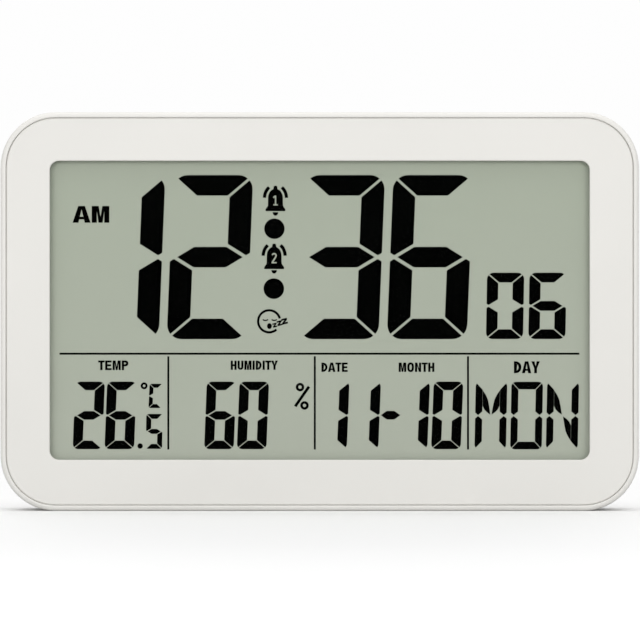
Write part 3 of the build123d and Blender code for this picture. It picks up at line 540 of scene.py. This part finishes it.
def flat_sign(name, shapes, level, thick, slot, body="root", facing=-1):
    """One mesh of many flat shapes between y = level and y = level + facing * thick.

    A shape is a list of loops of (x, z) points in mm, outer edge first and holes after it.
    For N points the front is points 0 to N, the rear N to 2N, and wall k joins points
    k, k + 1, N + k + 1 and N + k, where k + 1 wraps round within its own loop.
    """
    points, faces, start = [], [], 0
    for shape in shapes:
        loops = [turned(np.asarray(loop, float), i == 0) for i, loop in enumerate(shape)]
        flat = np.vstack(loops)
        count = len(flat)
        front = np.column_stack([flat[:, 0], np.full(count, level + facing * thick), flat[:, 1]])
        back = np.column_stack([flat[:, 0], np.full(count, level), flat[:, 1]])
        filled = np.array(tessellate_polygon([[(x, z, 0) for x, z in loop] for loop in loops]))
        a, b, c = (flat[filled[:, k]] for k in range(3))
        cross = (b - a)[:, 0] * (c - a)[:, 1] - (b - a)[:, 1] * (c - a)[:, 0]
        filled[cross < 0] = filled[cross < 0][:, ::-1]
        here = np.arange(count)
        after = np.concatenate([np.roll(np.arange(len(loop)), -1) + offset for loop, offset
                                in zip(loops, np.cumsum([0] + [len(p) for p in loops[:-1]]))])
        walls = np.column_stack([here, here + count, after + count, after])
        front_faces, back_faces = filled, filled[:, ::-1] + count
        if facing > 0:
            front_faces, back_faces, walls = (
                part[:, ::-1] for part in (front_faces, back_faces, walls))
        points += [front, back]
        for part in (front_faces, back_faces, walls):
            faces += (part + start).tolist()
        start += 2 * count
    mesh = bpy.data.meshes.new(name)
    mesh.from_pydata((np.vstack(points) * mm).tolist(), [], faces)
    mesh.materials.append(finishes[slot])
    sign = bpy.data.objects.new(name, mesh)
    scene.collection.objects.link(sign)
    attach(sign, body)
    return sign


def arc(x, z, across, tall, start, end, steps=9):
    """Points on an ellipse: x + across * cos(t), z + tall * sin(t), t from start to end."""
    t = np.radians(np.linspace(start, end, steps))
    return np.column_stack([x + across * np.cos(t), z + tall * np.sin(t)])


def join(*parts):
    """Points and arrays of points, one after another, as one loop."""
    return np.vstack([np.atleast_2d(part) for part in parts])


display_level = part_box("lcd_polariser")[0].y / mm + 0.02
ink_thick = 0.05
print("display level:", round(display_level, 3))

# %% [markdown]
# ## Seven-segment digits
# All digits share one drawing. The outline is a rounded box. Diagonal cuts part the four
# corner joints, and at half height the upright bars end in blunt points that leave room for
# the middle bar's tips. The drawing is made once for a left and a top bar and mirrored for
# the rest, then leaned to the right by a small shear, as on the real display.

# %% Seven-segment digits
LIT = {"0": "abcdef", "1": "bc", "2": "abged", "3": "abgcd", "5": "afgcd", "6": "afgecd",
       "C": "afed", "M": "febchj", "O": "abcdef", "N": "febchl"}


def segments(lit, left, bottom, wide, tall, bar, beam, gap, soft, lean, tip=0.18, slope=0.61):
    """The lit segments of one digit.

    In the digit's own frame u runs from 0 to wide and v from 0 to tall. The corner cut runs
    from (0, tall) to (bar, tall - beam), and each side of it is set back by gap / 2. Upright
    bars end in a point at tip * bar from their outer edge, with sides of that slope. The
    place of a point is x = left + u + lean * (v - tall / 2), z = bottom + v.
    """
    half = tall / 2
    cut = gap / 2 * math.hypot(bar, beam)
    open_angle = math.degrees(gap / 2 / soft)
    top = join(arc(soft, tall - soft, soft, soft, 135 - open_angle, 90, 5),
               arc(wide - soft, tall - soft, soft, soft, 90, 45 + open_angle, 5),
               (wide - bar - cut / beam, tall - beam), (bar + cut / beam, tall - beam))
    end = half + 0.75 * gap
    side = join(arc(soft, tall - soft, soft, soft, 180, 135 + open_angle, 5),
                (bar, tall - beam - cut / bar), (bar, end + slope * (1 - tip) * bar),
                (tip * bar, end), (0, end + slope * tip * bar))
    inset = 0.3 * bar + 0.15 * gap
    reach = inset + beam / 2 / slope
    middle = join((inset, half), (reach, half + beam / 2), (wide - reach, half + beam / 2),
                  (wide - inset, half), (wide - reach, half - beam / 2),
                  (reach, half - beam / 2))
    near = bar + 0.05
    leaf = join((near, half + 8.7), (3.5, half + 7.2), (4.3, half + 5.5), (4.85, half + 2.9),
                (wide / 2 - 0.2, half + 0.3), (4.1, half + 1.1), (3.1, half + 2.1),
                (near, half + 3.35))
    across, over = np.array([-1, 1]), np.array([1, -1])
    right, down = np.array([wide, 0]), np.array([0, tall])
    drawn = {"a": top, "f": side, "b": side * across + right, "g": middle,
             "d": top * over + down, "e": side * over + down,
             "c": side * -1 + right + down, "h": leaf, "j": leaf * across + right,
             "l": leaf * -1 + right + down}
    return [[np.column_stack([left + p[:, 0] + lean * (p[:, 1] - half), bottom + p[:, 1]])]
            for p in (drawn[letter] for letter in LIT[lit])]


big = dict(bottom=59.17, wide=27.6, tall=56.6, bar=7.85, beam=7.05, gap=0.85, soft=5.1,
           lean=0.04)
time_shapes = sum((segments(lit, left, **big) for lit, left in
                   (("1", -82.0), ("2", -51.68), ("3", -6.18), ("6", 24.3))), [])
flat_sign("time_digits", time_shapes, display_level, ink_thick, "segment_black")

seconds = dict(bottom=59.2, wide=12.8, tall=22.9, bar=3.9, beam=3.35, gap=0.4, soft=2.3,
               lean=0.018)
second_shapes = sum((segments(lit, left, **seconds) for lit, left in
                     (("0", 57.58), ("6", 72.2))), [])
flat_sign("seconds_digits", second_shapes, display_level, ink_thick, "segment_black")
print("time segments:", len(time_shapes), "seconds segments:", len(second_shapes))

# %% [markdown]
# ## The lower row
# Temperature, humidity, date and day use the same drawing at a smaller size. The day is
# written in letters, which need slanted leaves as well: two for the M, and one above and one
# below for the N. The degree ring, the point, the percent sign and the dash are small shapes
# of their own.

# %% Lower row
row = dict(bottom=21.2, tall=23.3, wide=10.2, bar=3.4, beam=2.95, gap=0.25, soft=1.9,
           lean=0.04)
tiny = dict(bottom=35.4, tall=8.35, wide=4.4, bar=1.4, beam=1.35, gap=0.18, soft=0.7, lean=0.05)
tenth = dict(bottom=21.3, tall=12.05, wide=5.65, bar=1.75, beam=1.7, gap=0.2, soft=0.9,
             lean=0.02)
day = dict(bottom=21.15, tall=23.3, bar=2.45, beam=2.6, gap=0.22, soft=1.7, lean=0.02, tip=0.41,
           slope=0.85)


def ring(x, z, outer, inner):
    """A round ring as an outer loop and a hole."""
    return [arc(x, z, outer, outer, 0, 345, 24), arc(x, z, inner, inner, 0, 345, 24)]


def disc(x, z, radius, steps=48):
    """A filled round."""
    return [arc(x, z, radius, radius, 0, 360 - 360 / steps, steps)]


def stroke(points, thick):
    """A line of even thickness: each point set off by thick / 2 to both sides, across the
    direction of the line there."""
    line = np.asarray(points, float)
    way = np.gradient(line, axis=0)
    way /= np.linalg.norm(way, axis=1)[:, None]
    aside = np.column_stack([-way[:, 1], way[:, 0]]) * thick / 2
    return [np.vstack([line + aside, (line - aside)[::-1]])]


temperature = (segments("2", -84.79, **row) + segments("6", -73.8, **row)
               + segments("5", -59.95, **tenth) + segments("C", -58.9, **tiny)
               + [disc(-61.98, 22.29, 0.93), ring(-60.6, 43.06, 1.2, 0.45)])
flat_sign("temperature_digits", temperature, display_level, ink_thick, "segment_black")

humidity = (segments("6", -39.42, **row) + segments("0", -28.14, **row)
            + [ring(-6.8, 42.61, 1.48, 0.58), ring(-5.25, 36.29, 1.48, 0.58),
               stroke([(-8.46, 35.95), (-3.69, 42.79)], 1.0)])
flat_sign("humidity_digits", humidity, display_level, ink_thick, "segment_black")

dash = [join((21.1, 32.92), (22.5, 33.95), (23.2, 34.4), (25.7, 34.4), (26.4, 33.95),
             (27.8, 32.92), (26.4, 31.89), (25.7, 31.44), (23.2, 31.44), (22.5, 31.89))]
date = (segments("1", -0.38, **row) + segments("1", 10.48, **row) + [dash]
        + segments("1", 27.4, **row) + segments("0", 38.9, **row))
flat_sign("date_digits", date, display_level, ink_thick, "segment_black")

weekday = (segments("M", 53.64, wide=10.87, **day) + segments("O", 65.95, wide=10.9, **day)
           + segments("N", 78.27, wide=11.0, **day))
flat_sign("day_letters", weekday, display_level, ink_thick, "segment_black")
print("lower row shapes:", len(temperature) + len(humidity) + len(date) + len(weekday))

# %% [markdown]
# ## Rules and labels
# Thin rules part the fields, and each field has a small label. Labels are words such as
# TEMP. The rules come first: one level rule, and three upright ones that hang from it.

# %% Rules
def box(x0, z0, x1, z1):
    """An upright rectangle."""
    return [np.array([(x0, z0), (x1, z0), (x1, z1), (x0, z1)])]


rule_half = 0.34
rule_shapes = [box(-89.8, 54.14 - rule_half, 89.62, 54.14 + rule_half)]
rule_shapes += [box(x - rule_half, 21.08, x + rule_half, 53.24) for x in (-52.25, -1.69, 51.18)]
flat_sign("display_rules", rule_shapes, display_level, ink_thick, "segment_black")
print("rules:", len(rule_shapes))

# %% [markdown]
# ## Letters
# Letters are drawn from simple outlines on a box one unit high: straight letters are lists of
# corners, round ones add arcs, and A, D, O, P and R have a hole. A word sets its letters side
# by side and scales them to the height and width it has on the display.

# %% Letters
def letter(sign, w, t):
    """The loops of one capital letter, w wide and one unit high, with a stem of width t.

    Heights are shares of the letter's height; b is the thickness of level bars."""
    b = 0.85 * t
    lean_in = lambda h: 1.1 * t + (w / 2 - 1.1 * t) * h / 0.82
    bowl = lambda x, z0, z1, r: join(arc(x - r, z1 - r, r, r, 90, 0, 6),
                                     arc(x - r, z0 + r, r, r, 0, -90, 6))
    oval = lambda s: np.sign(s) * np.abs(s) ** 0.8
    angle = np.radians(np.arange(0, 360, 10))
    round_loop = lambda rx, rz: np.column_stack([w / 2 + rx * oval(np.cos(angle)),
                                                 0.5 + rz * oval(np.sin(angle))])
    drawn = {
        "T": lambda: [[(0, 1), (w, 1), (w, 1 - b), (w / 2 + t / 2, 1 - b), (w / 2 + t / 2, 0),
                       (w / 2 - t / 2, 0), (w / 2 - t / 2, 1 - b), (0, 1 - b)]],
        "E": lambda: [[(0, 0), (0, 1), (w, 1), (w, 1 - b), (t, 1 - b), (t, 0.5 + b / 2),
                       (0.92 * w, 0.5 + b / 2), (0.92 * w, 0.5 - b / 2), (t, 0.5 - b / 2),
                       (t, b), (w, b), (w, 0)]],
        "H": lambda: [[(0, 0), (0, 1), (t, 1), (t, 0.5 + b / 2), (w - t, 0.5 + b / 2),
                       (w - t, 1), (w, 1), (w, 0), (w - t, 0), (w - t, 0.5 - b / 2),
                       (t, 0.5 - b / 2), (t, 0)]],
        "I": lambda: [[(0, 0), (0, 1), (t, 1), (t, 0)]],
        "L": lambda: [[(0, 0), (0, 1), (t, 1), (t, b), (w, b), (w, 0)]],
        "M": lambda: [[(0, 0), (0, 1), (1.3 * t, 1), (w / 2, 0.36), (w - 1.3 * t, 1), (w, 1),
                       (w, 0), (w - 0.95 * t, 0), (w - 0.95 * t, 0.70),
                       (w / 2 + 0.38 * t, 0), (w / 2 - 0.38 * t, 0), (0.95 * t, 0.70),
                       (0.95 * t, 0)]],
        "N": lambda: [[(0, 0), (0, 1), (1.05 * t, 1), (w - t, 0.36), (w - t, 1), (w, 1),
                       (w, 0), (w - 1.05 * t, 0), (t, 0.64), (t, 0)]],
        "W": lambda: [[(0, 1), (t, 1), (0.29 * w, 0.32), (w / 2 - 0.4 * t, 1),
                       (w / 2 + 0.4 * t, 1), (0.71 * w, 0.32), (w - t, 1), (w, 1),
                       (0.71 * w + 0.5 * t, 0), (0.71 * w - 0.5 * t, 0), (w / 2, 0.66),
                       (0.29 * w + 0.5 * t, 0), (0.29 * w - 0.5 * t, 0)]],
        "Y": lambda: [[(0, 1), (1.15 * t, 1), (w / 2, 0.58), (w - 1.15 * t, 1), (w, 1),
                       (w / 2 + t / 2, 0.42), (w / 2 + t / 2, 0), (w / 2 - t / 2, 0),
                       (w / 2 - t / 2, 0.42)]],
        "A": lambda: [[(0, 0), (w / 2 - 0.62 * t, 1), (w / 2 + 0.62 * t, 1), (w, 0),
                       (w - 1.1 * t, 0), (w - lean_in(0.2), 0.2), (lean_in(0.2), 0.2),
                       (1.1 * t, 0)],
                      [(lean_in(0.36), 0.36), (w / 2, 0.80), (w - lean_in(0.36), 0.36)]],
        "U": lambda: [join((0, 1), arc(w / 2, w / 2, w / 2, w / 2, 180, 360, 13), (w, 1),
                           (w - t, 1),
                           arc(w / 2, w / 2, w / 2 - t, w / 2 - b, 360, 180, 13), (t, 1))],
        "D": lambda: [join((0, 0), (0, 1), bowl(w, 0, 1, 0.75 * w)),
                      join((t, b), (t, 1 - b), bowl(w - t, b, 1 - b, 0.62 * w - t / 2))],
        "O": lambda: [round_loop(w / 2, 0.5 + 0.015), round_loop(w / 2 - t, 0.5 - b)],
        "P": lambda: [join((0, 0), (0, 1), bowl(w, 0.4, 1, 0.29), (t, 0.4), (t, 0)),
                      join((t, 0.4 + b), (t, 1 - b), bowl(w - t, 0.4 + b, 1 - b, 0.15))],
        "R": lambda: [join((0, 0), (0, 1), bowl(w, 0.42, 1, 0.28)[:-2], (w - 0.35 * t, 0.42),
                           (w, 0), (w - 1.15 * t, 0), (w - 1.6 * t, 0.4), (t, 0.4), (t, 0)),
                      join((t, 0.42 + b), (t, 1 - b), bowl(w - t, 0.42 + b, 1 - b, 0.14))],
        "S": lambda: stroke(join(
            arc(w / 2, 0.75, w / 2 - t / 2, 0.25 - b / 2, 25, 265, 14),
            arc(w / 2, 0.25, w / 2 - t / 2, 0.25 - b / 2, 85, -155, 14)), t),
    }
    return [np.asarray(loop, float) for loop in drawn[sign]()]


LETTER_WIDTHS = {"A": 0.8, "E": 0.62, "I": 0.25, "L": 0.56, "M": 0.78, "O": 0.7, "T": 0.63,
                 "W": 0.95, "Y": 0.74}


def word(text, left, bottom, wide, tall, stem=0.24, mirrored=False):
    """The shapes of a word that fills a box; widths of letters and spaces are scaled alike.
    The space is closer beside the open sides of A, T and Y."""
    shares = np.array([LETTER_WIDTHS.get(sign, 0.64) for sign in text])
    is_open = np.array([sign in "ATY" for sign in text])
    spaces = 0.1 - 0.05 * is_open[:-1] - 0.05 * is_open[1:]
    starts = np.concatenate([[0], np.cumsum(shares[:-1] + spaces)])
    squeeze = wide / ((shares.sum() + spaces.sum()) * tall)
    made = []
    for sign, share, start in zip(text, shares, starts):
        loops = letter(sign, share * squeeze, stem)
        if sign == "I":
            loops = [loop + (share * squeeze / 2 - stem / 2, 0) for loop in loops]
        grown = [(loop + (start * squeeze, 0)) * tall for loop in loops]
        if mirrored:
            grown = [loop * (-1, 1) + (wide, 0) for loop in grown]
        made.append([loop + (left, bottom) for loop in grown])
    return made


labels = (word("TEMP", -76.48, 48.48, 10.46, 3.31)
          + word("HUMIDITY", -30.71, 48.58, 16.29, 3.17)
          + word("DATE", 0.59, 47.86, 9.08, 3.21)
          + word("MONTH", 27.26, 47.86, 12.32, 3.21)
          + word("DAY", 67.02, 47.41, 8.97, 4.1)
          + word("AM", -85.3, 99.35, 12.7, 5.76, stem=0.32))
flat_sign("display_labels", labels, display_level, ink_thick, "segment_black")
print("letters:", len(labels))

# %% [markdown]
# ## Alarm and snooze signs
# Between hours and minutes stand two bells with their numbers left open, a round dot under
# each, and a sleeping face for the snooze. A bell is one outline from a few heights and half
# widths, mirrored about its middle. Its number is a hole, and its waves are strokes on an arc.

# %% Alarm and snooze signs
def bell(x, top, number):
    """A bell of that middle and top, with its clapper and two waves."""
    half = np.array([(0.4, 0), (0.62, -0.3), (0.66, -0.7), (0.72, -1.15), (1.4, -1.5),
                     (1.92, -2.05), (2.28, -2.7), (2.5, -3.5), (2.56, -4.5), (2.58, -6.7),
                     (2.8, -7.2), (3.35, -7.95), (3.48, -8.4), (3.3, -8.75)])
    outline = np.vstack([half + (x, top), (half * (-1, 1))[::-1] + (x, top)])
    if number == 1:
        hole = [(-0.85, -6.8), (-0.85, -6.35), (-0.22, -6.35), (-0.22, -3.85), (-0.75, -4.1),
                (-1.0, -3.75), (-0.15, -3.1), (0.28, -3.1), (0.28, -6.35), (0.87, -6.35),
                (0.87, -6.8)]
    else:
        hole = join(arc(0, -3.95, 1.0, 1.0, 165, -35, 12), (-0.3, -6.32), (0.95, -6.32),
                    (0.95, -6.8), (-1.0, -6.8), (-1.0, -6.35),
                    arc(0, -3.95, 0.5, 0.5, -35, 165, 12))
    clapper = arc(x, top - 9.1, 0.98, 1.2, 180, 360, 13)
    line = arc(0, -4.3, 3.8, 4.6, 178, 125, 9)
    waves = [stroke(line * (side, 1) + (x, top), 1.15) for side in (-1, 1)]
    return [[outline, np.array(hole) * (0.9, 0.93) + (x, top - 0.45)], [clapper], *waves]


def sleeper(x, z):
    """A round open on its right, two closed eyes, a mouth and three small letters z."""
    made = [stroke(arc(x, z, 3.8, 3.8, 15, 312, 60), 0.82)]
    for eye in (-1.3, 1.75):
        made.append(stroke(arc(x + eye, z + 0.8, 0.9, 0.5, 195, 345, 9), 0.45))
    made.append([arc(x + 0.1, z - 1.65, 0.85, 1.0, 0, 345, 24)])
    zed = np.array([(0, 1), (1, 1), (1, 0.7), (0.52, 0.32), (1, 0.32), (1, 0), (0, 0),
                    (0, 0.3), (0.48, 0.68), (0, 0.68)])
    tilt = math.radians(14)
    turn = np.array([(math.cos(tilt), math.sin(tilt)), (-math.sin(tilt), math.cos(tilt))])
    for dx, dz, size in ((1.4, -2.25, 1.5), (2.95, -1.7, 1.75), (4.6, -1.2, 2.0)):
        made.append([(zed * (size, size)) @ turn + (x + dx, z + dz)])
    return made


signs = (bell(-15.27, 112.08, 1) + [disc(-15.63, 97.27, 3.52)]
         + bell(-15.72, 92.1, 2) + [disc(-15.84, 76.6, 3.55)] + sleeper(-17.45, 65.32))
flat_sign("alarm_signs", signs, display_level, ink_thick, "segment_black")
print("signs:", len(signs))

# %% [markdown]
# ## Battery cells
# Each cell is a round body with a nub: a jacket that is turned in over both ends, and the
# steel that shows at the ends. Both are profiles of distance and radius, carried round the
# cell's axis. The two cells lie opposite ways, so the profile runs from the flat end along
# +X for the upper cell and along -X for the lower one.

# %% Battery cells
def turned_body(name, profile, flat_end, way, axis, slot, stands_for):
    """A profile of (s, r) pairs in mm turned round a line along X, closed by flat ends.

    Point (i, j) is x = flat_end + way * s[i], y = axis y + r[i] * cos(t[j]),
    z = axis z + r[i] * sin(t[j]), with t over a full turn. The wrap coordinates are
    s / cell_long and t / (2 * pi).
    """
    steps = 64
    s, r = np.array(profile, float).T
    t = np.linspace(0, 2 * math.pi, steps, endpoint=False)
    grid = np.stack([np.repeat(flat_end + way * s[:, None], steps, 1),
                     axis[0] + r[:, None] * np.cos(t), axis[1] + r[:, None] * np.sin(t)], -1)
    i, j = np.meshgrid(np.arange(len(s) - 1), np.arange(steps), indexing="ij")
    k = (j + 1) % steps
    quads = np.stack([i * steps + j, i * steps + k, (i + 1) * steps + k,
                      (i + 1) * steps + j], -1).reshape(-1, 4)[:, ::way]
    caps = [np.arange(steps)[::-way], ((len(s) - 1) * steps + np.arange(steps))[::way]]
    mesh = bpy.data.meshes.new(name)
    mesh.from_pydata((grid.reshape(-1, 3) * mm).tolist(), [],
                     quads.tolist() + [cap.tolist() for cap in caps])
    layer = mesh.uv_layers.new(name="wrap")
    wrapped = np.stack([s[np.stack([i, i, i + 1, i + 1], -1)] / cell_long,
                        np.stack([j, j + 1, j + 1, j], -1) / steps], -1).reshape(-1, 4, 2)
    flat = np.zeros((2 * steps, 2))
    layer.data.foreach_set("uv", np.vstack([wrapped[:, ::way].reshape(-1, 2), flat]).ravel())
    mesh.polygons.foreach_set("use_smooth", [True] * len(quads) + [False, False])
    mesh.materials.append(finishes[slot])
    piece = bpy.data.objects.new(name, mesh)
    scene.collection.objects.link(piece)
    crisp = piece.modifiers.new("crisp_edges", "EDGE_SPLIT")
    crisp.split_angle = math.radians(40)
    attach(piece, "root")
    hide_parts(stands_for)
    return piece


shoulder = cell_long - 0.8
jacket_profile = [(0.02, 4.3), (0.0, 4.6), (0.05, 4.95), (0.2, 5.15), (0.45, cell_round)]
jacket_profile += [(cell_long - 0.8 - a, b) for a, b in ((0.45, cell_round), (0.2, 5.15),
                                                         (0.05, 4.95), (0.0, 4.6), (0.02, 4.3))]
steel_profile = [(0.05, 4.4), (0.1, 4.5), (shoulder - 0.05, 4.5), (shoulder - 0.1, 2.6),
                 (shoulder - 0.1, 2.0), (cell_long - 0.15, 1.9), (cell_long, 1.7)]
for node, way in (("upper_battery", 1), ("lower_battery", -1)):
    low_corner, high_corner = (np.array(corner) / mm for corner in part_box(node))
    middle = (low_corner + high_corner)[1:] / 2
    flat_end = low_corner[0] if way > 0 else high_corner[0]
    turned_body(node + "_jacket", jacket_profile, flat_end, way, middle, "cell_jacket", node)
    turned_body(node + "_steel", steel_profile, flat_end, way, middle, "contact_nickel", node)
print("cell from", [round(float(v), 2) for v in low_corner], "to",
      [round(float(v), 2) for v in high_corner])

# %% [markdown]
# ## Contact springs
# A conical spring presses on the flat end of each cell. It is wound from round wire, wide at
# the wall and narrow at the cell, and its first and last three quarters of a turn lie flat,
# as on a real spring whose ends are closed. The wire's centre line is a function of the turn,
# and a round section is carried along it.

# %% Contact springs
spring_rise, spring_gap = 4.3, 0.45


def coil_spring(name, wall, way, axis):
    """A round wire along a conical helix that starts at x = wall and runs along way * X.

    With a the angle in turns and s the distance along the axis, s stays 0 for the first
    three quarters of a turn, grows nearly evenly, and stays at its full value for the last three
    quarters. The helix radius is wide - s * narrowing. Each section is a circle in the plane
    of the helix's radius and of the direction square to both it and the wire.
    """
    turns, closed, wide, narrowing, wire = 4.9, 0.75, 3.25, 0.25, 0.3
    a = np.linspace(0, turns, 220)
    climb = np.clip((a - closed) / (turns - 2 * closed), 0, 1)
    s = spring_rise * (0.88 * climb + 0.12 * climb * climb * (3 - 2 * climb))
    radius = wide - narrowing * s
    round_way = np.stack([np.zeros_like(a), np.cos(2 * math.pi * a), np.sin(2 * math.pi * a)], 1)
    line = round_way * radius[:, None] + np.stack([wall + way * s, 0 * a + axis[0],
                                                   0 * a + axis[1]], 1)
    ahead = np.gradient(line, axis=0)
    ahead /= np.linalg.norm(ahead, axis=1)[:, None]
    side = np.cross(ahead, round_way)
    side /= np.linalg.norm(side, axis=1)[:, None]
    out = np.cross(side, ahead)
    sides = 12
    t = np.linspace(0, 2 * math.pi, sides, endpoint=False)
    grid = (line[:, None] + wire * (np.cos(t)[None, :, None] * out[:, None]
                                    + np.sin(t)[None, :, None] * side[:, None]))
    i, j = np.meshgrid(np.arange(len(a) - 1), np.arange(sides), indexing="ij")
    k = (j + 1) % sides
    quads = np.stack([i * sides + j, (i + 1) * sides + j, (i + 1) * sides + k,
                      i * sides + k], -1).reshape(-1, 4)
    caps = [np.arange(sides), ((len(a) - 1) * sides + np.arange(sides))[::-1]]
    mesh = bpy.data.meshes.new(name)
    mesh.from_pydata((grid.reshape(-1, 3) * mm).tolist(), [],
                     quads.tolist() + [cap.tolist() for cap in caps])
    mesh.polygons.foreach_set("use_smooth", [True] * len(quads) + [False, False])
    mesh.materials.append(finishes["contact_nickel"])
    spring = bpy.data.objects.new(name, mesh)
    scene.collection.objects.link(spring)
    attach(spring, "root")
    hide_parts("contact_springs")
    return spring


for node, way, contact in (("upper_battery", 1, "bridge_contact"),
                           ("lower_battery", -1, "negative_contact")):
    plate = np.array(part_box(contact)) / mm
    cell = np.array(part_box(node)) / mm
    start = (cell[0][0] - spring_gap - spring_rise if way > 0
             else cell[1][0] + spring_gap + spring_rise)
    coil_spring(node + "_spring", start, way, (cell[0] + cell[1])[1:] / 2)
    print(node, "spring from", round(float(start), 2), "plate", plate[:, 0].round(2))

# %% [markdown]
# ## Words at the keys
# The five keys at the back sit in a shallow dish. Above each key stands its plain function,
# printed in the keys' grey on the dish floor. The words face backwards, so their outlines are
# mirrored.

# %% Words at the keys
dish_depth, print_thick = 0.8, 0.06
dish_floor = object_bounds()[1].y / mm - dish_depth
word_bottom, word_tall = 123.1, 2.1
shapes = []
for name, wide in (("mode", 6.4), ("set", 4.3), ("up", 2.9), ("down", 6.8), ("alarm", 7.9)):
    key_low, key_high = (np.array(corner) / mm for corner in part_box(name + "_button"))
    left = (key_low[0] + key_high[0] - wide) / 2
    shapes += word(name.upper(), left, word_bottom, wide, word_tall, stem=0.2, mirrored=True)
flat_sign("key_words", shapes, dish_floor, print_thick, "key_grey", facing=1)
print("dish floor:", round(dish_floor, 3), "letters:", len(shapes))
